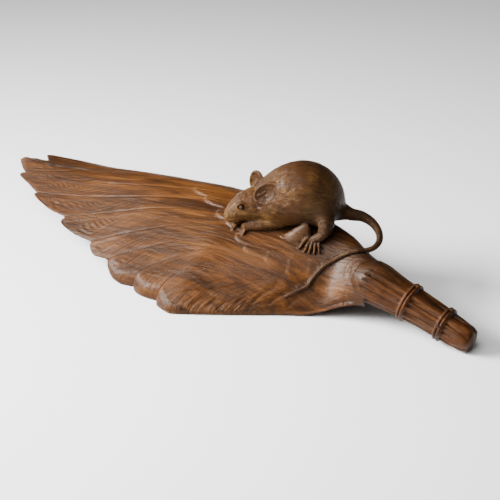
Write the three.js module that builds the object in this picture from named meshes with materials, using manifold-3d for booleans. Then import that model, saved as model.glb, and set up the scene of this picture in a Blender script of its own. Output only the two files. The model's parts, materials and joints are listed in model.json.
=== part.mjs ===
import * as THREE from "three";
import Module from "manifold-3d";

const wasm = await Module();
wasm.setup();

// Driving sizes in millimetres
const WING_L = 345; // root crease to the longest feather tip
const WING_W = 142; // across the spread feathers
const CREST_H = 51; // top of the arched wing above the table
const RIM_H = 3.6; // upper edge of the rim above the table
const RIM_T = 2.2; // thickness of the rim
const FOOT_IN = 6; // how far the resting ridge is set in from the rim
const TIP_LIFT = 17; // how far the outer feather tips stand off the table
const ROOT_LIFT = 15; // how far the near edge rises towards the handle
const WALL = 11; // wood left above the hollowed underside
const WALL_TIP = 5; // the same at the feather tips
const WALL_ROOT = 13; // extra wood where the handle joins
const BROW = 2; // upright part of the far edge
const GROOVE = 2.4; // depth of the step between two flight feathers
const COVERT = 1.7; // height of the small covert feathers over the wing
const BARB_W = 2.6; // width of a carved barb line
const BARB_D = 1.5; // depth of a carved barb line
const SPLIT_W = 2.2; // width of the split line near the root
const SPLIT_D = 1.6; // depth of the split line
const HANDLE_L = 86.5; // root crease to the end of the handle
const HANDLE_R = 16.2; // handle radius at the root
const CORD_R = 1.15; // radius of the binding cord
const BODY_R = 23; // radius of the rat's body
const TAIL_R = 4.5; // tail radius where it leaves the rump
const TOE_R = 1.35; // radius of a toe
const FINE = 0.1; // facets flatter than this are merged

// Outline of the wing: [share of length from the root, share of width]
const LEAD = [
  [0, 0.712], [0.043, 0.752], [0.101, 0.824], [0.174, 0.901], [0.29, 0.972], [0.42, 1],
  [0.542, 0.979], [0.667, 0.937], [0.783, 0.88], [0.939, 0.789], [1, 0.732],
];
const TRAIL = [
  [0, 0.476], [0.038, 0.484], [0.081, 0.468], [0.133, 0.394], [0.214, 0.232], [0.301, 0.099],
  [0.362, 0.007], [0.403, 0.028], [0.478, 0.056], [0.559, 0.106], [0.641, 0.204],
  [0.762, 0.324], [0.878, 0.444], [0.959, 0.542], [1, 0.662],
];
// Arch of the wing: [share of length, share of the crest height]
const ARCH = [
  [0, 0.885], [0.043, 0.885], [0.101, 0.935], [0.157, 0.972], [0.261, 0.98], [0.42, 0.935],
  [0.542, 0.843], [0.667, 0.716], [0.794, 0.578], [0.939, 0.51], [1, 0.49],
];
const CREST_AT = 0.74; // where the crest lies across the wing
const ROUND_TO = 0.11; // the wing rounds into the handle over this share of its length

// Lines between the flight feathers: notch, two bend points, root
const LINES = [
  [[0.945, 0.789], [0.667, 0.972], [0.261, 1.148], [0, 0.712]],
  [[0.904, 0.655], [0.696, 0.775], [0.319, 0.958], [0, 0.686]],
  [[0.939, 0.556], [0.725, 0.634], [0.319, 0.845], [0, 0.66]],
  [[0.872, 0.454], [0.667, 0.542], [0.304, 0.775], [0, 0.634]],
  [[0.75, 0.36], [0.609, 0.493], [0.29, 0.704], [0, 0.607]],
  [[0.646, 0.266], [0.536, 0.38], [0.261, 0.634], [0, 0.581]],
  [[0.576, 0.188], [0.47, 0.338], [0.232, 0.577], [0, 0.555]],
  [[0.484, 0.13], [0.458, 0.296], [0.203, 0.521], [0, 0.529]],
  [[0.408, 0.088], [0.406, 0.296], [0.188, 0.465], [0, 0.503]],
  [[0.362, 0.022], [0.232, 0.19], [0.101, 0.5], [0, 0.476]],
];
// Furthest point and belly of each feather tip
const TIPS = [
  [[0.955, 0.774], [0.92, 0.69]],
  [[1.006, 0.669], [0.969, 0.597]],
  [[0.957, 0.54], [0.91, 0.488]],
  [[0.872, 0.428], [0.813, 0.374]],
  [[0.755, 0.318], [0.704, 0.278]],
  [[0.642, 0.232], [0.611, 0.188]],
  [[0.565, 0.148], [0.526, 0.11]],
  [[0.48, 0.105], [0.444, 0.08]],
  [[0.406, 0.066], [0.386, 0.038]],
];
// How far each groove runs from the tip towards the root
const REACH = [0.5, 0.6, 0.62, 0.55, 0.5, 0.36, 0.34, 0.32, 0.4];
const ACROSS = [0, 0.07, 0.19, 0.5, 0.85];
const RELIEF = [-1, 0.5, 1, 0.45, -0.4];
const ALONG = [0, 0.03, 0.08, 0.14, 0.2, 0.27, 0.34, 0.42, 0.5, 0.59, 0.68, 0.78, 0.89, 1];

const V = (x, y, z) => new THREE.Vector3(x, y, z);
const clamp = (x) => Math.min(1, Math.max(0, x));
const smooth = (x) => clamp(x) * clamp(x) * (3 - 2 * clamp(x));
const mix = (a, b, t) => a + (b - a) * t;

function read(list, s) {
  if (s <= list[0][0]) return list[0][1];
  for (let i = 1; i < list.length; i++) {
    const [s0, v0] = list[i - 1];
    const [s1, v1] = list[i];
    if (s <= s1) return mix(v0, v1, (s - s0) / (s1 - s0));
  }
  return list[list.length - 1][1];
}

// Plan shares to millimetres and back
const px = (u) => -WING_L * u;
const py = (v) => WING_W * v;
const rimUp = (u) => TIP_LIFT * smooth((u - 0.464) / 0.522) + ROOT_LIFT * smooth((0.133 - u) / 0.133);

// Smooth upper face of the wing, without feathers
function top(x, y) {
  const u = -x / WING_L;
  const near = read(TRAIL, u);
  const far = read(LEAD, u);
  const t = clamp((y / WING_W - near) / (far - near));
  const crest = CREST_H * read(ARCH, u);
  const low = RIM_H + rimUp(u);
  const q = (t - CREST_AT) / (1 - CREST_AT);
  const near0 = low + (crest - low) * Math.sin((Math.PI / 2) * Math.min(1, t / CREST_AT));
  const far0 = low + BROW + (crest - low - BROW) * Math.sqrt(Math.max(0, 1 - Math.pow(Math.max(q, 0), 2.2)));
  const round = low + (crest - low) * Math.cbrt(1 - Math.abs(2 * t - 1) ** 3);
  return mix(q < 0 ? near0 : far0, round, smooth((ROUND_TO - u) / ROUND_TO));
}

// Hollowed underside at a share of length and a share of the way across
function under(u, t) {
  const thick = mix(WALL_TIP, WALL, smooth((0.85 - u) / 0.5)) + WALL_ROOT * smooth((0.15 - u) / 0.15);
  const rim = RIM_H - RIM_T + rimUp(u);
  const ridge = (RIM_H - RIM_T + 1) * (1 - smooth(rimUp(u) / (0.4 * RIM_H)));
  const inset = Math.min(0.3, FOOT_IN / (WING_W * (read(LEAD, u) - read(TRAIL, u))));
  const edge = Math.min(t, 1 - t) / inset;
  if (edge < 1) return rim - ridge * smooth(edge);
  const low = rim - ridge;
  const crest = Math.max(low, CREST_H * read(ARCH, u) - thick);
  const s = (t - inset) / (CREST_AT - inset);
  if (t < CREST_AT) return low + (crest - low) * Math.sin((Math.PI / 2) * smooth(s * 0.5 + 0.5 * s * s));
  const q = clamp((t - CREST_AT) / (1 - inset - CREST_AT));
  return low + (crest - low) * Math.sqrt(Math.max(0, 1 - Math.pow(q, 2.2)));
}

function build(verts, tris) {
  const vertProperties = new Float32Array(verts.length * 3);
  verts.forEach((p, i) => vertProperties.set([p.x, p.y, p.z], i * 3));
  const make = (list) => {
    const mesh = new wasm.Mesh({ numProp: 3, vertProperties, triVerts: new Uint32Array(list.flat()) });
    return new wasm.Manifold(mesh);
  };
  const solid = make(tris);
  return solid.volume() > 0 ? solid : make(tris.map(([a, b, c]) => [a, c, b]));
}

// Closed skin over rings of equal length, with a fan at each end
function loft(rings) {
  const n = rings[0].length;
  const verts = rings.flat();
  const tris = [];
  for (let i = 0; i + 1 < rings.length; i++) {
    for (let k = 0; k < n; k++) {
      const a = i * n + k;
      const b = i * n + ((k + 1) % n);
      tris.push([a, b, b + n], [a, b + n, a + n]);
    }
  }
  [rings[0], rings[rings.length - 1]].forEach((ring, end) => {
    const c = ring.reduce((s, p) => s.add(p), V(0, 0, 0)).divideScalar(n);
    const at = verts.push(c) - 1;
    const base = end ? (rings.length - 1) * n : 0;
    for (let k = 0; k < n; k++) {
      const a = base + k;
      const b = base + ((k + 1) % n);
      tris.push(end ? [a, b, at] : [b, a, at]);
    }
  });
  return build(verts, tris);
}

// Tube through points with a radius at each; tall is height over width
function tube(points, radii, sides, tall = 1, ridge = 0) {
  const rings = points.map((p, i) => {
    const dir = points[Math.min(i + 1, points.length - 1)].clone();
    dir.sub(points[Math.max(i - 1, 0)]).normalize();
    const side = V(0, 0, 1).cross(dir);
    if (side.length() < 0.05) side.set(1, 0, 0);
    side.normalize();
    const up = dir.clone().cross(side).normalize();
    return Array.from({ length: sides }, (_, k) => {
      const w = (2 * Math.PI * k) / sides;
      const r = radii[i] * (k % 2 ? 1 - ridge : 1);
      return p.clone().addScaledVector(side, Math.cos(w) * r).addScaledVector(up, Math.sin(w) * r * tall);
    });
  });
  return loft(rings);
}

function curve(points, count) {
  return new THREE.CatmullRomCurve3(points, false, "centripetal").getPoints(count);
}

function spread(values, count) {
  return Array.from({ length: count + 1 }, (_, i) => {
    const s = (i / count) * (values.length - 1);
    const k = Math.min(Math.floor(s), values.length - 2);
    return mix(values[k], values[k + 1], s - k);
  });
}

// Stretched ball at a point, along three axes
function ball(at, ex, ey, ez, nu = 12, nv = 7) {
  const rings = [];
  for (let i = 0; i <= nv; i++) {
    const p = Math.PI * Math.min(Math.max(i, 0.3), nv - 0.3) / nv;
    rings.push(Array.from({ length: nu }, (_, k) => {
      const w = (2 * Math.PI * k) / nu;
      const q = at.clone().addScaledVector(ez, Math.cos(p));
      return q.addScaledVector(ex, Math.sin(p) * Math.cos(w)).addScaledVector(ey, Math.sin(p) * Math.sin(w));
    }));
  }
  return loft(rings);
}

const join = (list) => list.reduce((a, b) => a.add(b));

// The wing
function bend(line, t) {
  const k = 1 - t;
  const w = [k * k * k, 3 * k * k * t, 3 * k * t * t, t * t * t];
  return [0, 1].map((i) => w.reduce((s, wi, j) => s + wi * line[j][i], 0));
}

function tipAt(f, w) {
  const stops = [[0, LINES[f][0]], [0.16, TIPS[f][0]], [0.6, TIPS[f][1]], [1, LINES[f + 1][0]]];
  return [0, 1].map((i) => read(stops.map(([s, p]) => [s, p[i]]), w));
}

function wing() {
  const columns = [];
  for (let f = 0; f < 9; f++) {
    ACROSS.forEach((w, i) => columns.push([f, w, RELIEF[i]]));
  }
  columns.push([8, 1, -0.4]);
  const verts = [];
  const rows = ALONG.length;
  for (const face of [0, 1]) {
    for (const [f, w, h] of columns) {
      const line = [0, 1, 2, 3].map((j) => [0, 1].map((i) => mix(LINES[f][j][i], LINES[f + 1][j][i], w)));
      line[0] = tipAt(f, w);
      const reach = w === 0 && f > 0 ? (REACH[f - 1] + REACH[f]) / 2 : REACH[f];
      for (const t of ALONG) {
        const [u, v] = bend(line, t);
        const p = V(px(u), py(v), 0);
        const fade = 1 - smooth(t / reach);
        const lip = t === 0 ? 0.9 : 0;
        p.z = face ? -2 * RIM_H : top(p.x, p.y) + GROOVE * h * fade * (t === 0 ? 0.6 : 1) - lip;
        verts.push(p);
      }
    }
  }
  const n = columns.length;
  const half = n * rows;
  const tris = [];
  const quad = (a, b, c, d) => tris.push([a, b, c], [a, c, d]);
  for (let i = 0; i + 1 < n; i++) {
    for (let j = 0; j + 1 < rows; j++) {
      const a = i * rows + j;
      quad(a, a + rows, a + rows + 1, a + 1);
      quad(half + a, half + a + 1, half + a + rows + 1, half + a + rows);
    }
    const a = i * rows;
    const z = a + rows - 1;
    quad(a, half + a, half + a + rows, a + rows);
    quad(z, z + rows, half + z + rows, half + z);
  }
  for (let j = 0; j + 1 < rows; j++) {
    const b = (n - 1) * rows + j;
    quad(j, j + 1, half + j + 1, half + j);
    quad(b, half + b, half + b + 1, b + 1);
  }
  return build(verts, tris);
}

function hollow() {
  const lengthwise = [-0.03, 0, 0.04, 0.08, 0.12, 0.16, 0.21, 0.27, 0.33, 0.362, 0.42, 0.48, 0.56, 0.64, 0.72, 0.8, 0.88, 0.96, 1.05];
  const across = [-0.3, 0, 0.03, 0.06, 0.12, 0.22, 0.36, 0.52, 0.68, 0.8, 0.88, 0.94, 0.97, 1, 1.3];
  const rings = lengthwise.map((u) => {
    const near = read(TRAIL, u);
    const far = read(LEAD, u);
    const row = across.map((t) => V(px(u), py(mix(near, far, t)), under(u, t)));
    return [...row, V(px(u), py(1.3), -CREST_H), V(px(u), py(-0.3), -CREST_H)];
  });
  return loft(rings);
}

// Small covert feathers over the wing, all as shares: tip along and across, length, width, height
const COVERTS = [
  [0.507, 0.736, 0.18, 0.12, 1], [0.457, 0.665, 0.162, 0.106, 1], [0.401, 0.575, 0.151, 0.099, 1],
  [0.362, 0.533, 0.133, 0.092, 1], [0.321, 0.472, 0.128, 0.085, 0.8], [0.29, 0.44, 0.11, 0.077, 0.6],
  [0.238, 0.447, 0.093, 0.085, 0.6], [0.188, 0.467, 0.081, 0.092, 0.75], [0.15, 0.514, 0.064, 0.085, 0.7],
];

function covert([u, v, length, width, lift]) {
  const tip = V(px(u), py(v), 0);
  const root = V(px(0.02), py(0.62), 0);
  const dir = root.sub(tip).normalize();
  const side = V(-dir.y, dir.x, 0);
  const shape = [[0, 0.3, 0.6], [0.1, 0.75, 0.95], [0.3, 1, 0.85], [0.65, 0.95, 0.2], [1, 0.7, -1]];
  const rings = shape.map(([s, w, h]) => {
    const ring = [-1, -0.5, 0.5, 1].map((k) => {
      const p = tip.clone().addScaledVector(dir, s * length * WING_L);
      p.addScaledVector(side, (k * w * width * WING_W) / 2);
      p.z = top(p.x, p.y) + lift * COVERT * (h - 0.6 * Math.abs(k) ** 3);
      return p;
    });
    const low = (p) => V(p.x, p.y, p.z - 3 * COVERT);
    return [...ring, low(ring[3]), low(ring[0])];
  });
  return loft(rings);
}

// V-shaped cut along points given as plan shares
function stroke(points, width = BARB_W, depth = BARB_D) {
  const line = curve(points.map(([u, v]) => V(px(u), py(v), 0)), 3);
  const rings = line.map((p, i) => {
    const dir = line[Math.min(i + 1, 3)].clone().sub(line[Math.max(i - 1, 0)]).normalize();
    const side = V(-dir.y, dir.x, 0);
    const w = (width / 2) * (i === 0 || i === 3 ? 0.3 : 1);
    const at = (k, h) => {
      const q = p.clone().addScaledVector(side, k * w);
      q.z = top(p.x, p.y) + h;
      return q;
    };
    const deep = i === 0 || i === 3 ? 0.2 : depth;
    return [at(-1, GROOVE), at(1, GROOVE), at(0, -deep)];
  });
  return loft(rings);
}

const BARBS = [
  // last feather, from its shaft down to the near edge
  [[0.33, 0.14], [0.345, 0.1], [0.352, 0.06]],
  [[0.29, 0.2], [0.312, 0.15], [0.325, 0.08]],
  [[0.262, 0.24], [0.285, 0.18], [0.3, 0.115]],
  [[0.236, 0.28], [0.262, 0.22], [0.278, 0.14]],
  [[0.212, 0.335], [0.238, 0.26], [0.252, 0.175]],
  [[0.187, 0.39], [0.21, 0.31], [0.222, 0.23]],
  [[0.16, 0.42], [0.182, 0.35], [0.19, 0.3]],
  [[0.13, 0.45], [0.15, 0.4], [0.158, 0.355]],
  // shaft of the last feather
  [[0.385, 0.06], [0.31, 0.2], [0.2, 0.41]],
  // tips of the outer feathers
  [[0.86, 0.51], [0.9, 0.49], [0.925, 0.485]],
  [[0.76, 0.42], [0.81, 0.395], [0.84, 0.375]],
  [[0.63, 0.37], [0.67, 0.32], [0.705, 0.275]],
  [[0.655, 0.38], [0.69, 0.335], [0.725, 0.295]],
  [[0.56, 0.27], [0.59, 0.22], [0.61, 0.19]],
  [[0.49, 0.2], [0.52, 0.15], [0.54, 0.11]],
  [[0.41, 0.19], [0.44, 0.12], [0.455, 0.07]],
];

// The handle: [share of length, share of radius]
const HANDLE = [
  [-0.1, 0.72], [-0.03, 0.9], [0.02, 0.96], [0.1, 0.93], [0.22, 0.88], [0.38, 0.82], [0.56, 0.76], [0.74, 0.71],
  [0.86, 0.67], [0.94, 0.61], [0.985, 0.5], [1, 0.3],
];
const GRIP_ROOT = V(px(0.012), py(0.594), 0);
const GRIP_Z0 = 0.585 * CREST_H;
const GRIP_Z1 = 0.49 * HANDLE_R;
const TILT = Math.asin((GRIP_Z0 - GRIP_Z1) / HANDLE_L);
function grip(s) {
  const bow = 0.1 * HANDLE_R * Math.sin(Math.PI * clamp(s));
  const x = GRIP_ROOT.x + HANDLE_L * s * Math.cos(TILT);
  return V(x, GRIP_ROOT.y + bow, mix(GRIP_Z0, GRIP_Z1, s));
}

// Two turns of cord at each binding stand proud of the handle
const BINDINGS = [0.375, 0.72];
function handle() {
  const turn = CORD_R / HANDLE_L;
  const proud = [[-3, 0], [-2.4, 0.8], [-1.2, 1.2], [0, 0.1], [1.2, 1.2], [2.4, 0.8], [3, 0]];
  const list = HANDLE.map(([s, r]) => [s, r * HANDLE_R, 0.05]);
  for (const at of BINDINGS) {
    for (const [k, h] of proud) {
      const s = at + k * turn;
      list.push([s, HANDLE_R * read(HANDLE, s) + h * CORD_R, h > 0.5 ? 0.01 : 0.05]);
    }
  }
  list.sort((a, b) => a[0] - b[0]);
  const sides = 14;
  const dir = V(Math.cos(TILT), 0, -Math.sin(TILT));
  const up = V(Math.sin(TILT), 0, Math.cos(TILT));
  const rings = list.map(([s, r, ridge]) => Array.from({ length: sides }, (_, k) => {
    const w = (2 * Math.PI * k) / sides;
    const q = r * (k % 2 ? 1 - ridge : 1);
    return grip(s).add(V(0, Math.cos(w) * q, 0)).addScaledVector(up, Math.sin(w) * q);
  }));
  const parts = [loft(rings)];
  const k = 1.9 * CORD_R;
  for (const s of BINDINGS) {
    const r = HANDLE_R * read(HANDLE, s) + 0.4 * CORD_R;
    const knot = grip(s).add(V(0, -0.5 * r, 0)).addScaledVector(up, 0.87 * r);
    parts.push(ball(knot, dir.clone().multiplyScalar(1.3 * k), V(0, k, 0), V(0, 0, k), 6, 4));
  }
  return join(parts);
}

// The rat, in its own directions: forward, to its left, up; unit is BODY_R
const AZ = (35 * Math.PI) / 180;
const FWD = V(-Math.cos(AZ), -Math.sin(AZ), 0);
const LEFT = V(Math.sin(AZ), -Math.cos(AZ), 0);
const UP = V(0, 0, 1);
const SEAT = V(px(0.2145), py(0.7254), 0);
const SEAT_Z = top(SEAT.x, SEAT.y) + 0.9 * BODY_R;
function rat(a, b, c) {
  const p = SEAT.clone().addScaledVector(FWD, a * BODY_R).addScaledVector(LEFT, b * BODY_R);
  p.z = SEAT_Z + c * BODY_R;
  return p;
}
// A point on the wing below or beside the rat, raised by lift
function onWing(a, b, lift) {
  const p = rat(a, b, 0);
  p.z = top(p.x, p.y) + lift;
  return p;
}
const vec = (a, b, c) => V(0, 0, 0).addScaledVector(FWD, a).addScaledVector(LEFT, b).addScaledVector(UP, c);

// Nose to rump: forward, left, up, radius
const SPINE = [
  [2.52, 0.043, -0.865, 0.09], [2.43, 0.043, -0.8, 0.19], [2.28, 0.017, -0.703, 0.27],
  [2.0, -0.065, -0.575, 0.41], [1.658, -0.165, -0.475, 0.52], [1.211, -0.217, -0.44, 0.63],
  [0.767, -0.174, -0.27, 0.85], [0.36, -0.087, -0.065, 0.98], [0, 0, 0.05, 1.01],
  [-0.22, 0.02, 0, 0.97], [-0.42, 0.03, -0.1, 0.86], [-0.62, 0.04, -0.25, 0.69],
  [-0.8, 0.05, -0.39, 0.54], [-0.95, 0.06, -0.49, 0.42], [-1.1, 0.08, -0.57, 0.33],
  [-1.28, 0.1, -0.615, 0.26], [-1.44, 0.18, -0.63, 0.21],
];
// Free part of the tail: forward, left, up, share of the tail radius
const TAIL = [
  [-1.25, 0.08, -0.6, 1.25], [-1.453, 0.196, -0.64, 1.05], [-1.819, 0.435, -0.59, 0.87],
  [-2.13, 0.739, -0.65, 0.72], [-2.32, 1.13, -0.79, 0.6], [-2.3, 1.48, -0.93, 0.52],
  [-2.12, 1.68, -1.03, 0.46],
];
// Part of the tail that lies on the wing: forward, left, share of the tail radius
const TAIL_LAID = [
  [-1.887, 1.72, 0.43], [-1.638, 1.76, 0.41], [-1.394, 1.72, 0.39],
  [-0.933, 1.68, 0.36], [-0.623, 1.713, 0.33], [-0.405, 1.805, 0.31], [-0.218, 1.904, 0.29],
  [-0.093, 2.0, 0.28], [0.157, 2.056, 0.26], [0.471, 2.125, 0.22], [0.627, 2.16, 0.16],
];

function digit(from, to, r, hang) {
  const mid = from.clone().lerp(to, 0.5);
  mid.z += hang;
  return tube([from, mid, to], [r * 0.85, r, r * 0.55], 5);
}

function ear(at, face, long, major, minor) {
  const n = face.normalize();
  const m = long.addScaledVector(n, -long.dot(n)).normalize();
  const s = n.clone().cross(m).normalize();
  const R = BODY_R;
  const shell = ball(at, m.clone().multiplyScalar(major * R), s.clone().multiplyScalar(minor * R),
    n.clone().multiplyScalar(0.1 * R), 12, 5);
  const cup = ball(at.clone().addScaledVector(n, 0.085 * R), m.clone().multiplyScalar(0.8 * major * R),
    s.clone().multiplyScalar(0.78 * minor * R), n.clone().multiplyScalar(0.12 * R), 12, 5);
  return [shell, cup];
}

function animal() {
  const R = BODY_R;
  const n = 20;
  const spine = curve(SPINE.map(([a, b, c]) => rat(a, b, c)), n);
  const fat = new THREE.CatmullRomCurve3(SPINE.map(([a, , , r]) => V(a, r, 0)), false, "centripetal");
  const body = tube(spine, fat.getPoints(n).map((p) => p.y * R), 16, 1);
  const parts = [body];
  const lump = (p, x, y, z, nu = 10, nv = 6) => {
    parts.push(ball(p, vec(x * R, 0, 0), vec(0, y * R, 0), vec(0, 0, z * R), nu, nv));
  };
  // haunches, shoulders, cheeks, brow
  for (const k of [1, -1]) {
    lump(rat(-0.5, 0.48 * k, -0.26), 0.56, 0.5, 0.64);
    lump(rat(0.88, -0.2 + 0.42 * k, -0.44), 0.56, 0.34, 0.46, 10, 6);
    lump(rat(1.6, -0.16 + 0.25 * k, -0.5), 0.46, 0.3, 0.36, 10, 6);
    lump(rat(1.98, -0.06 + 0.33 * k, -0.3), 0.16, 0.11, 0.1, 6, 4);
  }
  lump(rat(0.15, 0, -0.55), 1.1, 0.6, 0.5);
  // tail, free and laid over the wing
  const free = TAIL.map(([a, b, c]) => rat(a, b, c));
  const laid = TAIL_LAID.map(([a, b, r]) => onWing(a, b, 0.9 * r * TAIL_R));
  const girth = [...TAIL.map((p) => p[3]), ...TAIL_LAID.map((p) => p[2])].map((r) => r * TAIL_R);
  const path = new THREE.CatmullRomCurve3([...free, ...laid], false, "centripetal");
  const steps = 27;
  parts.push(tube(path.getPoints(steps), spread(girth, steps), 6));
  // near foreleg and paw, then the far one under the chin
  const arm = [rat(0.5, 0.22, -0.74), rat(0.95, 0.3, -0.86), rat(1.34, 0.27, -0.96), rat(1.68, 0.22, -1.03)];
  arm.push(onWing(1.86, 0.24, 0.14 * R));
  parts.push(tube(curve(arm, 7), spread([0.27, 0.26, 0.23, 0.19, 0.15].map((r) => r * R), 7), 8));
  const farArm = [rat(1.3, -0.55, -0.8), rat(1.7, -0.4, -1.0), onWing(2.08, -0.02, 0.13 * R)];
  parts.push(tube(farArm, [0.19, 0.16, 0.13].map((r) => r * R), 7));
  for (const k of [-1.5, -0.5, 0.5, 1.5]) {
    const near = [onWing(1.84, 0.26 + 0.05 * k, 0.12 * R), onWing(2.0 - 0.03 * Math.abs(k), 0.33 + 0.09 * k, TOE_R * 0.4)];
    const far = [onWing(2.1, 0.05 * k, 0.12 * R), onWing(2.3 - 0.03 * Math.abs(k), 0.03 + 0.1 * k, TOE_R * 0.4)];
    parts.push(digit(near[0], near[1], TOE_R, TOE_R * 0.37), digit(far[0], far[1], TOE_R, TOE_R * 0.37));
  }
  // near hind leg, its foot and five toes
  const leg = [rat(-0.62, 0.75, -0.4), rat(-0.66, 0.98, -0.62), rat(-0.55, 1.1, -0.9), onWing(-0.3, 1.05, 0.1 * R)];
  parts.push(tube(curve(leg, 5), spread([0.34, 0.26, 0.17, 0.14].map((r) => r * R), 5), 8));
  const heels = [[-0.12, 0.97], [-0.2, 1.03], [-0.28, 1.07], [-0.37, 1.09], [-0.45, 1.08]];
  const claws = [[0.18, 1.17], [0.01, 1.28], [-0.13, 1.34], [-0.29, 1.38], [-0.45, 1.38]];
  parts.push(tube(heels.map(([a, b]) => onWing(a, b, 0.06 * R)), heels.map(() => 0.075 * R), 6));
  heels.forEach(([a, b], i) => {
    parts.push(digit(onWing(a, b, 0.07 * R), onWing(claws[i][0], claws[i][1], TOE_R * 0.4), TOE_R, TOE_R * 0.67));
  });
  // far hind foot
  const farLeg = [rat(-0.6, -0.6, -0.5), onWing(-0.5, -0.8, 0.2 * R), onWing(-0.1, -0.78, 0.08 * R)];
  parts.push(tube(farLeg, [0.3, 0.18, 0.12].map((r) => r * R), 8));
  let beast = join(parts);
  const ears = [
    ear(rat(1.2, 0.36, 0.2), vec(0.4, 0.85, 0.3), vec(-0.87, 0, 0.5), 0.5, 0.32),
    ear(rat(1.51, -0.64, 0.1), vec(0.72, 0.6, 0.2), vec(-0.2, -0.2, 1), 0.35, 0.33),
  ];
  for (const [shell] of ears) beast = beast.add(shell);
  for (const [, cup] of ears) beast = beast.subtract(cup);
  // eyes and mouth
  for (const k of [1, -1]) {
    const e = 0.085 * R;
    const at = rat(1.99, -0.06 + 0.4 * k, -0.33);
    beast = beast.add(ball(at, V(e, 0, 0), V(0, e, 0), V(0, 0, e), 8, 5));
  }
  const lips = [rat(2.55, 0.05, -0.93), rat(2.36, 0.25, -0.9), rat(2.12, 0.36, -0.86), rat(1.95, 0.42, -0.82)];
  beast = beast.subtract(tube(lips, [0.017, 0.039, 0.039, 0.013].map((r) => r * R), 5));
  return beast;
}

// The raised wing joint beside the rat: along and across as shares of the wing, height and half width of BODY_R
function joint() {
  const stations = [[0.219, 0.57, 0.01, 0.13], [0.208, 0.585, 0.11, 0.2], [0.197, 0.6, 0.24, 0.215],
    [0.185, 0.617, 0.35, 0.22], [0.178, 0.629, 0.37, 0.2], [0.174, 0.635, 0.24, 0.16]];
  const rings = stations.map(([u, v, h, w]) => {
    const p = V(px(u), py(v), 0);
    const side = V(0.8, -0.6, 0);
    return [[-1, -1], [-0.95, 0.3], [-0.35, 0.95], [0.2, 0.85], [1, 0.1], [1.1, -1]].map(([k, up]) => {
      const q = p.clone().addScaledVector(side, k * w * BODY_R);
      q.z = top(q.x, q.y) + (up < 0 ? -RIM_H : up * h * BODY_R);
      return q;
    });
  });
  return loft(rings);
}

function carving() {
  let solid = wing().simplify(FINE).subtract(hollow());
  solid = solid.add(join(COVERTS.map(covert)));
  solid = solid.subtract(join(BARBS.map((b) => stroke(b))));
  solid = solid.add(handle());
  solid = solid.subtract(stroke([[0.045, 0.61], [0.056, 0.57], [0.05, 0.53]], SPLIT_W, SPLIT_D));
  solid = solid.add(joint()).add(animal());
  return solid.trimByPlane([0, 0, 1], 0).simplify(FINE);
}

const solid = carving();
const mesh = solid.getMesh();
const geometry = new THREE.BufferGeometry();
const points = new Float32Array((mesh.vertProperties.length / mesh.numProp) * 3);
for (let i = 0; i < points.length / 3; i++) {
  for (let k = 0; k < 3; k++) points[i * 3 + k] = mesh.vertProperties[i * mesh.numProp + k];
}
geometry.setAttribute("position", new THREE.BufferAttribute(points, 3));
geometry.setIndex(new THREE.BufferAttribute(new Uint32Array(mesh.triVerts), 1));
geometry.computeBoundingBox();
const box = geometry.boundingBox;
const mid = box.getCenter(V(0, 0, 0));
geometry.translate(-mid.x, -mid.y, -box.min.z);
geometry.computeVertexNormals();

const wood = new THREE.MeshStandardMaterial({ color: 0x7a4a2c, roughness: 0.5, metalness: 0 });
const piece = new THREE.Mesh(geometry, wood);
piece.name = "rat_on_feather_brush";
const group = new THREE.Group();
group.name = "rat_okimono";
group.add(piece);

export default group;
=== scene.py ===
import json
import math

import bpy
import mathutils.kdtree
import numpy as np
import openvdb
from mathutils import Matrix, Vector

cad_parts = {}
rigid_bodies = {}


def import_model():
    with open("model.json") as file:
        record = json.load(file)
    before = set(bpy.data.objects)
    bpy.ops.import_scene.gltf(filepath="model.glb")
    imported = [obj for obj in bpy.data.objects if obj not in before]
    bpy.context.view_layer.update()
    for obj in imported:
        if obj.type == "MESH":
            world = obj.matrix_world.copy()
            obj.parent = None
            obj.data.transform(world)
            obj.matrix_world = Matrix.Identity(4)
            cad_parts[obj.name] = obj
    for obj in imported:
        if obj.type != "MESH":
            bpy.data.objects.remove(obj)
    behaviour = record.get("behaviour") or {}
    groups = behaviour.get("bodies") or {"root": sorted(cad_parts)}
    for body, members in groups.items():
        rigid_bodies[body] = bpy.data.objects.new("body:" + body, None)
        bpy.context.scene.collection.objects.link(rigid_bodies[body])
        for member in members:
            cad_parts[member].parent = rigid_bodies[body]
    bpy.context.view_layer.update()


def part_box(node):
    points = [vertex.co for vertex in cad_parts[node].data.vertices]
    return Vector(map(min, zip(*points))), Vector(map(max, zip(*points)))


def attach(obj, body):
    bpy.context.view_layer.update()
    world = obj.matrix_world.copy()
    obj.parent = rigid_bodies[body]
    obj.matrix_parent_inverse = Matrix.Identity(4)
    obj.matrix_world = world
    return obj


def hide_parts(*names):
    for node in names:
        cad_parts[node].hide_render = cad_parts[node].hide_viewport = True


# An empty scene before the frame comes in
for old in list(bpy.data.objects):
    bpy.data.objects.remove(old)
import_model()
NODE = "rat_on_feather_brush"

# Sizes in millimetres, as in the part's source; COVERT is 0.2 lower, for its crisper edges
WING_L = 345.0
WING_W = 142.0
CREST_H = 51.0
RIM_H = 3.6
RIM_T = 2.2
FOOT_IN = 6.0
TIP_LIFT = 17.0
ROOT_LIFT = 15.0
WALL = 11.0
WALL_TIP = 5.0
GROOVE = 2.4
COVERT = 1.5
HANDLE_L = 86.5
HANDLE_R = 16.2
CORD_R = 1.15
BODY_R = 23.0
TAIL_R = 4.5
TOE_R = 1.35
CREST_AT = 0.74
ROUND_TO = 0.11
BROW = 2.0
WALL_ROOT = 13.0
# Only here: lift of the rim where it meets the handle
ROOT_CORNER = 5.0
# Where the wing's frame lies from the corner of the part's box
FRAME_X = 346.2
FRAME_Y = -3.12

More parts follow.
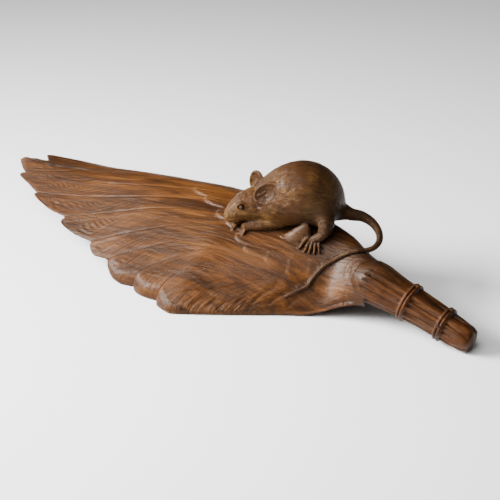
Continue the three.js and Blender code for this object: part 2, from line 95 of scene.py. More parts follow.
# Shares of the wing's length: lifted tips, lifted root, its corner, thinning wall
TIP_FROM, TIP_OVER = 0.464, 0.522
ROOT_OVER = 0.133
CORNER_OVER = 0.035
THIN_FROM, THIN_OVER = 0.85, 0.5
THICK_FROM = 0.15
# Fullness of the far side's curve
FULL = 2.2

# Leading edge, trailing edge and crest: share of length, share of width or height
LEAD = [
    [0, 0.7], [0.043, 0.752], [0.101, 0.824], [0.174, 0.901], [0.29, 0.972], [0.42, 1],
    [0.542, 0.979], [0.667, 0.937], [0.783, 0.88], [0.939, 0.789], [1, 0.732],
]
TRAIL = [
    [0, 0.49], [0.038, 0.488], [0.081, 0.468], [0.133, 0.394], [0.214, 0.232], [0.301, 0.099],
    [0.362, 0.007], [0.403, 0.028], [0.478, 0.056], [0.559, 0.106], [0.641, 0.204],
    [0.762, 0.324], [0.878, 0.444], [0.959, 0.542], [1, 0.662],
]
ARCH = [
    [0, 0.862], [0.043, 0.88], [0.101, 0.935], [0.157, 0.972], [0.261, 0.98], [0.42, 0.935],
    [0.542, 0.843], [0.667, 0.716], [0.794, 0.578], [0.939, 0.51], [1, 0.49],
]
# The lines between feathers, each a curve of four plan points from tip to root
LINES = np.array([
    [[0.945, 0.789], [0.667, 0.972], [0.261, 1.148], [0, 0.7]],
    [[0.904, 0.655], [0.696, 0.775], [0.319, 0.958], [0, 0.686]],
    [[0.939, 0.556], [0.725, 0.634], [0.319, 0.845], [0, 0.66]],
    [[0.872, 0.454], [0.667, 0.542], [0.304, 0.775], [0, 0.634]],
    [[0.75, 0.36], [0.609, 0.493], [0.29, 0.704], [0, 0.607]],
    [[0.646, 0.266], [0.536, 0.38], [0.261, 0.634], [0, 0.581]],
    [[0.576, 0.188], [0.47, 0.338], [0.232, 0.577], [0, 0.555]],
    [[0.484, 0.13], [0.458, 0.296], [0.203, 0.521], [0, 0.529]],
    [[0.408, 0.088], [0.406, 0.296], [0.188, 0.465], [0, 0.503]],
    [[0.362, 0.022], [0.232, 0.19], [0.101, 0.5], [0, 0.49]],
])
# Two points on the end of each feather
TIPS = np.array([
    [[0.955, 0.774], [0.92, 0.69]],
    [[1.0035, 0.669], [0.969, 0.597]],
    [[0.957, 0.54], [0.91, 0.488]],
    [[0.872, 0.428], [0.813, 0.374]],
    [[0.755, 0.318], [0.704, 0.278]],
    [[0.642, 0.232], [0.611, 0.188]],
    [[0.565, 0.148], [0.526, 0.11]],
    [[0.48, 0.105], [0.444, 0.08]],
    [[0.406, 0.066], [0.386, 0.038]],
])
# How far each feather's step runs in from the tip
REACH = [0.5, 0.6, 0.62, 0.55, 0.5, 0.36, 0.34, 0.32, 0.4]


def clamp(x):
    return np.clip(x, 0.0, 1.0)


def smooth(x):
    x = clamp(x)
    return x * x * (3 - 2 * x)


def mix(a, b, t):
    return a + (b - a) * t


def read(table, s):
    """Smooth monotone curve through a list of [share, value]."""
    t = np.asarray(table, float)
    x, y = t[:, 0], t[:, 1]
    h = np.diff(x)
    d = np.diff(y) / h
    m = np.zeros(len(x))
    w1, w2 = 2 * h[1:] + h[:-1], h[1:] + 2 * h[:-1]
    same = d[:-1] * d[1:] > 0
    safe = np.where(same, d[:-1], 1), np.where(same, d[1:], 1)
    m[1:-1] = np.where(same, (w1 + w2) / (w1 / safe[0] + w2 / safe[1]), 0)
    m[0], m[-1] = d[0], d[-1]
    s = np.clip(np.asarray(s, float), x[0], x[-1])
    i = np.clip(np.searchsorted(x, s, side="right") - 1, 0, len(x) - 2)
    k = (s - x[i]) / h[i]
    a = (1 + 2 * k) * (1 - k) ** 2 * y[i] + k * (1 - k) ** 2 * h[i] * m[i]
    return a + k * k * (3 - 2 * k) * y[i + 1] + k * k * (k - 1) * h[i] * m[i + 1]


def hash01(*keys):
    """Repeatable value from 0 to 1 for whole-number keys."""
    h = np.zeros(np.broadcast(*keys).shape) + 0.37
    for k, c in zip(keys, (12.9898, 78.233, 37.719, 4.581)):
        h = np.modf(np.sin(h * 91.7 + np.asarray(k, float) * c) * 43758.5453)[0]
    return np.abs(h)


def noise(x, y, seed=0):
    """Soft value noise from 0 to 1 over a plane."""
    x, y = np.asarray(x, float), np.asarray(y, float)
    i, j = np.floor(x), np.floor(y)
    fx, fy = smooth(x - i), smooth(y - j)
    n = [hash01(i + a, j + b, seed) for a in (0, 1) for b in (0, 1)]
    return mix(mix(n[0], n[1], fy), mix(n[2], n[3], fy), fx)


# The smooth wing, as in the part's source
def rim_up(u):
    """Lift of the rim off the table at a share of the length."""
    tips = TIP_LIFT * smooth((u - TIP_FROM) / TIP_OVER)
    return tips + ROOT_LIFT * smooth((ROOT_OVER - u) / ROOT_OVER)


def across(x, y):
    """Share of the length, share of the width and the width in millimetres."""
    u = -x / WING_L
    near, far = read(TRAIL, u), read(LEAD, u)
    return u, (y / WING_W - near) / (far - near), (far - near) * WING_W


def top(x, y):
    """Height of the smooth wing over a plan point."""
    u, t, _ = across(x, y)
    t = clamp(t)
    crest = CREST_H * read(ARCH, u)
    low = RIM_H + rim_up(u) + ROOT_CORNER * smooth((CORNER_OVER - u) / CORNER_OVER)
    rise = low + (crest - low) * np.sin(np.pi / 2 * clamp(t / CREST_AT))
    q = clamp((t - CREST_AT) / (1 - CREST_AT))
    fall = low + BROW + (crest - low - BROW) * np.sqrt(np.maximum(0, 1 - q**FULL))
    arch = np.where(t < CREST_AT, rise, fall)
    ring = low + (crest - low) * (1 - np.abs(2 * t - 1) ** FULL) ** (1 / FULL)
    return mix(arch, ring, smooth((ROUND_TO - u) / ROUND_TO))


def under(x, y):
    """Height of the hollow underside, with its resting strip inside the rim."""
    u, t, width = across(x, y)
    thick = mix(WALL_TIP, WALL, smooth((THIN_FROM - u) / THIN_OVER))
    thick = thick + WALL_ROOT * smooth((THICK_FROM - u) / THICK_FROM)
    rim = RIM_H - RIM_T + rim_up(u)
    inset = np.minimum(0.3, FOOT_IN / width)
    edge = np.minimum(t, 1 - t) / inset
    ridge = (RIM_H - RIM_T + 1) * (1 - smooth(rim_up(u) / (0.4 * RIM_H)))
    low = rim - ridge
    foot = rim - ridge * smooth(edge)
    crest = np.maximum(low, CREST_H * read(ARCH, u) - thick)
    s = (t - inset) / (CREST_AT - inset)
    rise = low + (crest - low) * np.sin(np.pi / 2 * smooth(s * 0.5 + 0.5 * s * s))
    q = clamp((t - CREST_AT) / (1 - inset - CREST_AT))
    fall = low + (crest - low) * np.sqrt(np.maximum(0, 1 - q**FULL))
    return np.where(edge < 1, foot, np.where(t < CREST_AT, rise, fall))


def hermite(points, knots, s):
    """Smooth curve through points at the given knots."""
    p, k = np.asarray(points, float), np.asarray(knots, float)
    m = np.gradient(p, k, axis=0)
    i = np.clip(np.searchsorted(k, s, side="right") - 1, 0, len(k) - 2)
    h = (k[i + 1] - k[i])[:, None]
    t = ((s - k[i]) / (k[i + 1] - k[i]))[:, None]
    a = (1 + 2 * t) * (1 - t) ** 2 * p[i] + t * (1 - t) ** 2 * h * m[i]
    return a + t * t * (3 - 2 * t) * p[i + 1] + t * t * (t - 1) * h * m[i + 1]


def catmull(points, count):
    """Evenly numbered samples of a centripetal curve through points."""
    p = np.asarray(points, float)
    step = np.linalg.norm(np.diff(p[:, :3], axis=0), axis=1) ** 0.5
    k = np.concatenate([[0], np.cumsum(np.maximum(step, 1e-6))])
    return hermite(p, k, np.linspace(0, k[-1], count))


def segment_distance(x, y, line):
    """Distance to a polyline and the share of its length, for plan points."""
    best = np.full(x.shape, 1e9)
    where = np.zeros(x.shape)
    n = len(line) - 1
    for i in range(n):
        a, b = line[i], line[i + 1]
        d = b - a
        t = clamp(((x - a[0]) * d[0] + (y - a[1]) * d[1]) / max(d @ d, 1e-9))
        r = np.hypot(x - a[0] - t * d[0], y - a[1] - t * d[1])
        closer = r < best
        best = np.where(closer, r, best)
        where = np.where(closer, (i + t) / n, where)
    return best, where


# Cuts along the surface: plan shares, width, depth
STROKES = [
    ([[0.33, 0.14], [0.345, 0.1], [0.352, 0.06]], 1.1, 1.1),
    ([[0.29, 0.2], [0.312, 0.15], [0.325, 0.08]], 1.2, 1.3),
    ([[0.262, 0.24], [0.285, 0.18], [0.3, 0.115]], 1.1, 1.2),
    ([[0.236, 0.28], [0.262, 0.22], [0.278, 0.14]], 1.2, 1.4),
    ([[0.212, 0.335], [0.238, 0.26], [0.252, 0.175]], 1.1, 1.3),
    ([[0.187, 0.39], [0.21, 0.31], [0.222, 0.23]], 1.1, 1.3),
    ([[0.16, 0.42], [0.182, 0.35], [0.19, 0.3]], 1.0, 1.1),
    ([[0.13, 0.45], [0.15, 0.4], [0.158, 0.355]], 1.0, 1.0),
    ([[0.312, 0.17], [0.328, 0.125], [0.34, 0.07]], 0.8, 0.6),
    ([[0.276, 0.225], [0.297, 0.17], [0.312, 0.1]], 0.8, 0.6),
    ([[0.249, 0.265], [0.273, 0.205], [0.289, 0.13]], 0.8, 0.7),
    ([[0.224, 0.31], [0.25, 0.245], [0.265, 0.16]], 0.8, 0.6),
    ([[0.2, 0.36], [0.224, 0.29], [0.237, 0.2]], 0.8, 0.7),
    ([[0.385, 0.06], [0.31, 0.2], [0.2, 0.41]], 0.9, 0.9),
    ([[0.045, 0.61], [0.056, 0.57], [0.05, 0.53]], 1.0, 1.9),
    ([[0.56, 0.27], [0.59, 0.22], [0.61, 0.19]], 0.9, 0.7),
    ([[0.49, 0.2], [0.52, 0.15], [0.54, 0.11]], 0.9, 0.7),
    ([[0.41, 0.19], [0.44, 0.12], [0.455, 0.07]], 0.9, 0.7),
    ([[0.668, 1.209], [0.61, 1.258], [0.544, 1.283]], 0.7, 0.4),
    ([[0.6, 0.98], [0.52, 1.04], [0.43, 1.08]], 0.7, 0.4),
    ([[0.548, 0.779], [0.49, 0.775], [0.431, 0.757]], 0.6, 0.3),
    ([[0.507, 0.249], [0.48, 0.262], [0.455, 0.258]], 0.8, 0.45),
    ([[0.52, 0.27], [0.495, 0.282], [0.47, 0.282]], 0.7, 0.4),
    ([[0.049, 0.512], [0.046, 0.495], [0.046, 0.47]], 0.8, 1.2),
]
STROKE_DEEP = 0.62
STROKE_RIM = 0.25

# Small covert feathers: tip shares, length, width, height share
COVERTS = [
    [0.15, 0.514, 22, 12, 0.7], [0.188, 0.467, 28, 13, 0.75], [0.238, 0.447, 32, 12, 0.6],
    [0.29, 0.44, 38, 11, 0.6], [0.321, 0.472, 44, 12, 0.8], [0.362, 0.533, 46, 13, 1],
    [0.401, 0.575, 52, 14, 1], [0.457, 0.665, 56, 15, 1], [0.507, 0.736, 62, 17, 1],
]
COVERT_WIDTH = [[0, 0], [0.02, 0.34], [0.08, 0.72], [0.22, 1], [0.65, 0.95], [1, 0.7]]
COVERT_HEIGHT = [[0, 0.85], [0.08, 1], [0.25, 0.8], [0.6, 0.3], [1, 0]]
COVERT_AIM = [0.02, 0.62]
COVERT_GAP = 0.7
COVERT_BARB = 2.2


def coverts(x, y):
    """Height of the small overlapping feathers over the wing."""
    height = np.zeros(x.shape)
    for n, (u, v, length, width, lift) in enumerate(COVERTS):
        tip = np.array([-WING_L * u, WING_W * v])
        aim = np.array([-WING_L * COVERT_AIM[0], WING_W * COVERT_AIM[1]]) - tip
        aim /= np.linalg.norm(aim)
        s = (x - tip[0]) * aim[0] + (y - tip[1]) * aim[1]
        c = -(x - tip[0]) * aim[1] + (y - tip[1]) * aim[0]
        s = s + 0.012 * c * c
        half = width / 2 * read(COVERT_WIDTH, s / length)
        k = np.abs(c) / np.maximum(half, 1e-3)
        body = read(COVERT_HEIGHT, s / length)
        inside = smooth((half - np.abs(c)) / 1.6) * smooth(s / 2.2) * (s > 0) * (s < length)
        barbs = np.cos(2 * np.pi * (s * 0.5 + np.abs(c) * 0.9) / COVERT_BARB) * smooth(s / 4)
        cup = 0.8 + 0.35 * k**3 - 0.2 * np.exp(-((c / 0.5) ** 2)) + 0.1 * barbs
        h = lift * COVERT * inside * body * cup
        ring = np.hypot(np.maximum(np.abs(c) - half, 0), np.minimum(s, 0))
        open_end = (s > -3) * (s < 0.4 * length) * (1 - inside)
        gap = -COVERT_GAP * lift * np.exp(-((ring / 0.9) ** 2)) * open_end
        height = np.where((height <= 0) & (h <= 0), np.minimum(height, gap), height)
        height = np.maximum(height, h)
    return height


def strokes(x, y):
    """Depth of the cut strokes, with a low rim beside each."""
    depth = np.zeros(x.shape)
    for points, width, deep in STROKES:
        line = catmull([[-WING_L * u, WING_W * v, 0] for u, v in points], 7)[:, :2]
        lo, hi = line.min(0) - 4, line.max(0) + 4
        m = (x > lo[0]) & (x < hi[0]) & (y > lo[1]) & (y < hi[1])
        if not m.any():
            continue
        d, s = segment_distance(x[m], y[m], line)
        run = np.sqrt(np.maximum(0, np.sin(np.pi * clamp(0.04 + s * 0.92))))
        cut = STROKE_DEEP * deep * np.exp(-((d / width) ** 2)) * run
        rim = STROKE_RIM * deep * np.exp(-(((d - 1.8 * width) / width) ** 2))
        depth[m] += cut - rim * np.sin(np.pi * s)
    return depth


# Barbs of each feather: shaft place, spacing, depth, how far in from the tip
VANES = [
    (0.25, 8.0, 0.5, 20, 60), (0.24, 8.0, 0.8, 40, 70), (0.22, 8.0, 1.0, 50, 80),
    (0.2, 8.5, 1.2, 50, 75), (0.18, 9.0, 1.2, 38, 55), (0.16, 8.5, 1.1, 30, 42),
    (0.15, 8.0, 1.1, 26, 38), (0.15, 8.0, 1.1, 26, 42), (0.3, 10.0, 0.4, 60, 90),
]
# Barbs in two sizes: spacing, depth, sharpness, seed
BARB_SIZES = [(1.0, 1.0, 0.22, 1), (0.47, 0.3, 0.26, 5)]
UPPER_VANE = 0.08


def feather(f, w, s, d, width):
    """Relief of one flight feather: its barbs and shaft."""
    shaft, pitch, deep, near, far = VANES[f]
    off = d - shaft * width
    side = np.sign(off)
    reach = np.abs(off)
    bow = reach * (3.4 - 0.8 * clamp(reach / 20))
    warp = 0.5 * noise(s / 45, off / 30, 7 + f) + 0.08 * noise(s / 16, off / 10, 31 + f)
    height = np.zeros(w.shape)
    for scale, amp, sharp, seed in BARB_SIZES:
        phase = (s + bow) / (pitch * scale) + warp / scale**0.5 + 0.37 * f
        n = np.round(phase)
        depth = 0.1 + 0.9 * hash01(n, f + 10 * (side > 0), seed) ** 1.5
        start = 4.0 * hash01(n, f + 3, seed + 1)
        end = mix(0.4, 1.2, hash01(n, f + 5, seed + 2))
        end = end * np.where(side > 0, 1 - shaft, shaft) * width
        long = smooth((reach - 0.3 * start) / 5) * smooth((end - reach) / 6)
        cut = np.exp(-(((phase - n) / sharp) ** 2)) - 0.25
        height -= deep * amp * depth * long * cut * np.where(side > 0, 1, UPPER_VANE)
    fade = 1 - smooth((s - near) / far)
    height *= fade
    # a dished vane under the raised upper edge, and a low shaft
    dish = -0.5 * np.sin(np.pi * clamp(d / np.maximum(width, 1)))
    dish = dish * (1 - smooth((s - near) / far)) * smooth(s / 8)
    rib = 0.28 * np.exp(-((off / 0.9) ** 2)) - 0.2 * np.exp(-(((off - 1.7) / 0.8) ** 2))
    height += dish + rib * (1 - smooth((s - near * 1.2) / far)) * smooth(s / 6)
    return height, s + bow + 3 * warp, off, fade


# The wing's grid: rows from tip to root, crowded at the tips, and columns a feather
ROWS = 215
ROW_CROWD = 1.22
COLUMNS = [30] * 8 + [66]
# Rounded feather ends and trailing edge, and the thin edge of the lifted ends
END_ROLL, SIDE_ROLL, ROLL_DEPTH = 6.5, 4.5, 0.72
EDGE_WALL, EDGE_GAIN, INNER_WALL = 1.2, 0.22, 9.0


def wing_mesh():
    """Top and hollow underside of the wing on one grid, closed by a wall."""
    t = (np.arange(ROWS) / (ROWS - 1)) ** ROW_CROWD
    xs, ys, zs, ins, barbs, rolls = [], [], [], [], [], []
    for f, count in enumerate(COLUMNS):
        w = (1 - np.cos(np.linspace(0, 1, count) * np.pi)) / 2 * 0.5 + np.linspace(0, 1, count) * 0.5
        ctrl = LINES[f][None] * (1 - w)[:, None, None] + LINES[f + 1][None] * w[:, None, None]
        stops = np.array([LINES[f][0], TIPS[f][0], TIPS[f][1], LINES[f + 1][0]])
        for i in (0, 1):
            ctrl[:, 0, i] = read(np.c_[[0, 0.16, 0.6, 1], stops[:, i]], w)
        k = 1 - t
        base = np.stack([k**3, 3 * k * k * t, 3 * k * t * t, t**3], 1)
        uv = np.einsum("tk,wkc->wtc", base, ctrl)
        x, y = -WING_L * uv[..., 0], WING_W * uv[..., 1]
        seg = np.hypot(np.diff(x, axis=1), np.diff(y, axis=1))
        s = np.concatenate([np.zeros((count, 1)), np.cumsum(seg, 1)], 1)
        seg = np.hypot(np.diff(x, axis=0), np.diff(y, axis=0))
        d = np.concatenate([np.zeros((1, ROWS)), np.cumsum(seg, 0)], 0)
        width = d[-1][None, :] + 0 * d
        ww = w[:, None] + 0 * s
        tt = t[None, :] + 0 * s
        before = REACH[f - 1] if f else REACH[f]
        after = REACH[f + 1] if f < 8 else REACH[f]
        reach = mix((before + REACH[f]) / 2, REACH[f], smooth(ww / 0.15))
        reach = mix(reach, (after + REACH[f]) / 2, smooth((ww - 0.75) / 0.25))
        fade = 1 - smooth(tt / reach)
        rise = 1 - np.exp(-((d / 1.5) ** 1.6))
        step = -1 + 2.05 * rise - 1.35 * ww**1.15
        step -= 0.35 * np.exp(-(((width - d) / 1.2) ** 2))
        if f == 8:
            step = np.where(ww > 0.7, mix(step, -0.25, smooth((ww - 0.7) / 0.3)), step)
        z = top(x, y) + GROOVE * step * fade
        relief, lines, off, fine = feather(f, ww, s, d, width)
        z += relief
        roll = clamp(1 - s / END_ROLL)
        if f == 8:
            roll = np.hypot(roll, clamp(1 - (width - d) / SIDE_ROLL))
        rolls.append(1 - np.sqrt(np.maximum(0, 1 - np.minimum(roll, 1) ** 2)))
        xs.append(x)
        ys.append(y)
        zs.append(z)
        ins.append(s)
        barbs.append(np.stack([lines + 37 * f, off, fine], -1))
    x, y, z = np.concatenate(xs), np.concatenate(ys), np.concatenate(zs)
    inward = np.concatenate(ins)
    # the shared line between two feathers is a sharp V
    seams = np.cumsum(COLUMNS)[:-1]
    for first in seams:
        z[first - 1] = z[first] = np.minimum(z[first - 1], z[first]) - 0.05
        x[first - 1] += 1e-4
    z += coverts(x, y) - strokes(x, y)
    streak = noise(x / 40, y / 1.6, 3) - 0.5 + 0.5 * (noise(x / 22, y / 0.8, 9) - 0.5)
    z += 0.22 * streak
    keep = np.ones(len(x), bool)
    keep[seams] = False
    x, y, z, inward = x[keep], y[keep], z[keep], inward[keep]
    barbs = np.concatenate(barbs)[keep].reshape(-1, 3)
    rolls = np.concatenate(rolls)[keep]
    low = np.maximum(np.minimum(under(x, y), z - 0.9), -3.0)
    # lifted feather ends thin out towards their edges
    lifted = smooth(rim_up(-x / WING_L) / 2.5) * (x < -0.4 * WING_L)
    thick = mix(INNER_WALL, EDGE_WALL + EDGE_GAIN * inward, lifted)
    low = np.maximum(low, z - thick)
    z -= ROLL_DEPTH * (z - low) * rolls
    n, m = x.shape
    verts = np.concatenate([
        np.stack([x, y, z], -1).reshape(-1, 3), np.stack([x, y, low], -1).reshape(-1, 3)])
    idx = np.arange(n * m).reshape(n, m)
    a, b, c, e = idx[:-1, :-1], idx[1:, :-1], idx[1:, 1:], idx[:-1, 1:]
    up = np.stack([a, b, c, e], -1).reshape(-1, 4)
    down = np.stack([a, e, c, b], -1).reshape(-1, 4) + n * m
    ring = np.concatenate([idx[:, 0], idx[-1, 1:], idx[-2::-1, -1], idx[0, -2:0:-1]])
    nxt = np.roll(ring, -1)
    wall = np.stack([nxt, ring, ring + n * m, nxt + n * m], -1)
    return verts, np.concatenate([up, down, wall]), np.c_[x.ravel(), y.ravel(), barbs]


def rings_mesh(rings):
    """Closed skin over rings, shaped (rings, points, 3)."""
    rings = np.asarray(rings, float)
    n, m = rings.shape[:2]
    idx = np.arange(n * m).reshape(n, m)
    nxt = np.roll(idx, -1, 1)
    quads = np.stack([idx[:-1], nxt[:-1], nxt[1:], idx[1:]], -1).reshape(-1, 4)
    verts = np.concatenate([rings.reshape(-1, 3), rings[:1].mean(1), rings[-1:].mean(1)])
    c0, c1 = n * m, n * m + 1
    fan0 = np.stack([nxt[0], idx[0], idx[0] * 0 + c0], -1)
    fan1 = np.stack([idx[-1], nxt[-1], idx[-1] * 0 + c1], -1)
    return verts, quads.tolist() + np.concatenate([fan0, fan1]).tolist()


def tube_rings(points, radius, sides):
    """Rings round a path, with one radius a point."""
    p = np.asarray(points, float)
    d = np.gradient(p, axis=0)
    d /= np.linalg.norm(d, axis=1)[:, None]
    side = np.cross([0, 0, 1.0], d)
    side /= np.maximum(np.linalg.norm(side, axis=1), 1e-6)[:, None]
    up = np.cross(d, side)
    w = 2 * np.pi * np.arange(sides) / sides
    r = np.asarray(radius, float)[:, None]
    out = side[:, None] * (np.cos(w) * r)[..., None] + up[:, None] * (np.sin(w) * r)[..., None]
    return p[:, None] + out


# The handle: share of its length from the crease, share of its radius
HANDLE = [
    [-0.12, 0.66], [-0.05, 0.86], [0.0, 0.97], [0.05, 0.99], [0.1, 0.97], [0.22, 0.88], [0.38, 0.82],
    [0.56, 0.76], [0.74, 0.71], [0.86, 0.67], [0.94, 0.61], [0.985, 0.5], [1, 0.3],
]
GRIP_ROOT = np.array([-WING_L * 0.012, WING_W * 0.594])
GRIP_Z0 = 0.585 * CREST_H
GRIP_Z1 = 0.49 * HANDLE_R
TILT = math.asin((GRIP_Z0 - GRIP_Z1) / HANDLE_L)
GRIP_BOW = 1.6
GRIP_SIDES = 120
QUILL_DEEP = 1.7
QUILL_FINE = 0.7
END_FACET = 0.9
BINDINGS = [0.375, 0.72]


def handle_mesh():
    """Handle of split quills with two double cords, on rings along its axis."""
    s = [np.linspace(-0.12, 0.9, 120), 1 - 0.1 * np.cos(np.linspace(0, 0.497, 22) * np.pi)]
    turn = CORD_R / HANDLE_L
    for at in BINDINGS:
        s.append(at + turn * np.linspace(-3.2, 3.2, 34))
    s = np.unique(np.round(np.concatenate(s), 5))
    w = 2 * np.pi * np.arange(GRIP_SIDES) / GRIP_SIDES
    S, W = np.meshgrid(s, w, indexing="ij")
    r = HANDLE_R * read(HANDLE, S)
    # split quills fanning from the root, each a soft convex strip
    warp = W + 0.25 * np.sin(2 * W + 0.7) + 0.12 * np.sin(5 * W) + 0.1 * np.sin(3 * S + W)
    strip = np.abs(np.cos(5.5 * warp))
    fade = smooth((0.97 - S) / 0.2) * smooth((S + 0.05) / 0.07)
    r = r - QUILL_DEEP * fade * (1 - strip)
    r = r - QUILL_FINE * fade * (1 - np.abs(np.cos(11.5 * warp + 5 * S)))
    r += 0.25 * (noise(S * 30, W * 9, 4) - 0.5)
    # facets on the rounded end
    r -= END_FACET * smooth((S - 0.86) / 0.1) * np.abs(np.sin(3 * W + 0.6)) ** 3
    for k, at in enumerate(BINDINGS):
        q = (S - at) / turn
        base = HANDLE_R * read(HANDLE, S)
        near = smooth((3.0 - np.abs(q)) / 0.8)
        r = mix(r, base, 0.85 * near)
        for n, c in enumerate((-1.15, 1.15)):
            lay = q - c - 0.25 * np.sin(W + k + n)
            arc = np.sqrt(np.maximum(0, 1.05 - lay**2))
            twist = 0.16 * np.cos(26 * W + 3.0 * lay) * (arc > 0)
            cord = base + CORD_R * (1.25 * arc + twist * arc) - 0.15
            r = np.where(arc > 0, np.maximum(r, cord), r)
    bow = GRIP_BOW * np.sin(np.pi * clamp(S))
    cx = GRIP_ROOT[0] + HANDLE_L * S * math.cos(TILT)
    cz = mix(GRIP_Z0, GRIP_Z1, S)
    up = np.array([math.sin(TILT), 0, math.cos(TILT)])
    p = np.stack([cx, GRIP_ROOT[1] + bow + np.cos(W) * r, cz], -1) + (np.sin(W) * r)[..., None] * up
    return rings_mesh(p)


def grip_point(s, w, r):
    """Point at a share of the handle, an angle round it and a radius."""
    up = np.array([math.sin(TILT), 0, math.cos(TILT)])
    c = np.array([
        GRIP_ROOT[0] + HANDLE_L * s * math.cos(TILT),
        GRIP_ROOT[1] + GRIP_BOW * math.sin(math.pi * s),
        mix(GRIP_Z0, GRIP_Z1, s)])
    return c + np.array([0, math.cos(w) * r, 0]) + up * math.sin(w) * r


# The rat, in shares of BODY_R: forward, to its left, up
AZ = math.radians(35)
FWD = np.array([-math.cos(AZ), -math.sin(AZ), 0])
LEFT = np.array([math.sin(AZ), -math.cos(AZ), 0])
SEAT = np.array([-WING_L * 0.2145, WING_W * 0.7254])
SEAT_Z = float(top(SEAT[0], SEAT[1])) + 0.9 * BODY_R


def place(p):
    """Rat directions in millimetres to the wing's frame."""
    p = np.asarray(p, float)
    q = p[..., :1] * FWD + p[..., 1:2] * LEFT
    q[..., 2] = p[..., 2] + SEAT_Z
    q[..., :2] += SEAT
    return q


def unplace(q):
    """The wing's frame to rat directions in millimetres."""
    q = np.asarray(q, float)
    d = q[..., :2] - SEAT
    return np.stack([d @ FWD[:2], d @ LEFT[:2], q[..., 2] - SEAT_Z], -1)


def rat(a, b, c):
    return np.array([a, b, c], float) * BODY_R


def on_wing(a, b, lift):
    """Rat point that lies a little over the smooth wing."""
    q = place(rat(a, b, 0))
    return np.array([a * BODY_R, b * BODY_R, float(top(q[0], q[1])) + lift - SEAT_Z])


# Forward, left, up, radius, nose to rump
SPINE = [
    [2.41, 0.043, -0.82, 0.15], [2.34, 0.035, -0.76, 0.22], [2.22, 0.0, -0.68, 0.3],
    [2.0, -0.065, -0.575, 0.41], [1.658, -0.165, -0.475, 0.52], [1.211, -0.217, -0.44, 0.63],
    [0.767, -0.174, -0.27, 0.85], [0.36, -0.087, -0.065, 0.98], [0, 0, 0.05, 1.01],
    [-0.22, 0.02, 0, 0.97], [-0.42, 0.03, -0.1, 0.86], [-0.62, 0.04, -0.25, 0.69],
    [-0.8, 0.05, -0.39, 0.54], [-0.95, 0.06, -0.49, 0.42], [-1.1, 0.08, -0.57, 0.33],
    [-1.28, 0.1, -0.615, 0.26], [-1.44, 0.18, -0.63, 0.21],
]
TAIL = [
    [-1.1, 0.07, -0.57, 1.25], [-1.25, 0.08, -0.6, 1.2], [-1.453, 0.196, -0.64, 1.05],
    [-1.819, 0.435, -0.59, 0.87], [-2.13, 0.739, -0.65, 0.72], [-2.32, 1.13, -0.79, 0.6],
    [-2.3, 1.48, -0.93, 0.52], [-2.12, 1.68, -1.03, 0.46],
]
# The part of the tail that lies on the wing: forward, left, radius
TAIL_LAID = [
    [-1.887, 1.72, 0.43], [-1.638, 1.76, 0.41], [-1.394, 1.72, 0.39],
    [-0.933, 1.68, 0.36], [-0.623, 1.713, 0.33], [-0.405, 1.805, 0.31], [-0.218, 1.904, 0.29],
    [-0.093, 2.0, 0.28], [0.157, 2.056, 0.26], [0.471, 2.125, 0.22], [0.627, 2.16, 0.16],
]

# Points worked on at a time
CHUNK = 4096


def soft_min(a, b, k):
    """Union of two distances, blended over k millimetres."""
    if k <= 0:
        return np.minimum(a, b)
    h = np.maximum(k - np.abs(a - b), 0) / k
    return np.minimum(a, b) - h * h * k / 4


def soft_max(a, b, k):
    return -soft_min(-a, -b, k)


def chain(p, line):
    """Distance to a row of round cones: line holds x, y, z, radius in mm."""
    flat = np.asarray(p, float).reshape(-1, 3)
    line = np.asarray(line, float)
    a, r = line[:-1, :3], line[:, 3]
    d = line[1:, :3] - a
    dd = np.maximum((d * d).sum(1), 1e-9)
    best = np.empty(len(flat))
    for i in range(0, len(flat), CHUNK):
        q = flat[i:i + CHUNK]
        along = q @ d.T - (a * d).sum(1)
        t = clamp(along / dd)
        square = (q * q).sum(1)[:, None] - 2 * q @ a.T + (a * a).sum(1) - 2 * t * along + t * t * dd
        best[i:i + CHUNK] = (np.sqrt(np.maximum(square, 0)) - r[:-1] - t * np.diff(r)).min(1)
    return best.reshape(np.shape(p)[:-1])


def egg(p, at, radii, axes=None):
    """Near distance to an ellipsoid."""
    q = p - at
    if axes is not None:
        q = q @ np.asarray(axes).T
    radii = np.asarray(radii, float)
    k0 = np.linalg.norm(q / radii, axis=-1)
    k1 = np.linalg.norm(q / radii**2, axis=-1)
    return k0 * (k0 - 1) / np.maximum(k1, 1e-9)


def unit(v):
    v = np.asarray(v, float)
    return v / np.linalg.norm(v)


def ear_axes(face, long):
    """Long, short and face directions of a leaf."""
    n = unit(face)
    m = unit(np.asarray(long, float) - n * np.dot(long, n))
    return np.stack([m, np.cross(n, m), n])


# Place, axes, half length, half width
NEAR_EAR = (rat(1.2, 0.38, 0.2), ear_axes([0.4, 0.85, 0.3], [-0.87, 0, 0.5]), 0.5, 0.34)
FAR_EAR = (rat(1.51, -0.64, 0.1), ear_axes([0.72, 0.6, 0.2], [-0.2, -0.2, 1]), 0.36, 0.33)
EYES = [rat(1.99, -0.06 + 0.4 * k, -0.33) for k in (1, -1)]


def local(p, centre, reach, shape, field, how, k):
    """Works a small shape into the field, only near where it is."""
    m = np.linalg.norm(p - centre, axis=-1) < reach
    if m.any():
        field[m] = how(field[m], shape(p[m]), k)


# Eggs worked into the body: forward, left, up; half sizes; blend in millimetres
BELLY = ([0.15, 0, -0.55], [1.1, 0.6, 0.5], 4.0)
CHEST = ([1.0, 0.08, -0.86], [0.85, 0.34, 0.3], 2.0)
# Thighs, shoulders and cheeks: forward, middle, out to each side, up; half sizes
PAIRS = [
    (-0.5, 0, 0.48, -0.26, [0.56, 0.5, 0.64]),
    (0.88, -0.2, 0.42, -0.44, [0.56, 0.34, 0.46]),
    (1.6, -0.16, 0.25, -0.5, [0.46, 0.3, 0.36]),
]
PAIR_SOFT = 3.0
BROW_SIZE = [0.17, 0.11, 0.1]
LIP_SIZE = [0.2, 0.12, 0.1]
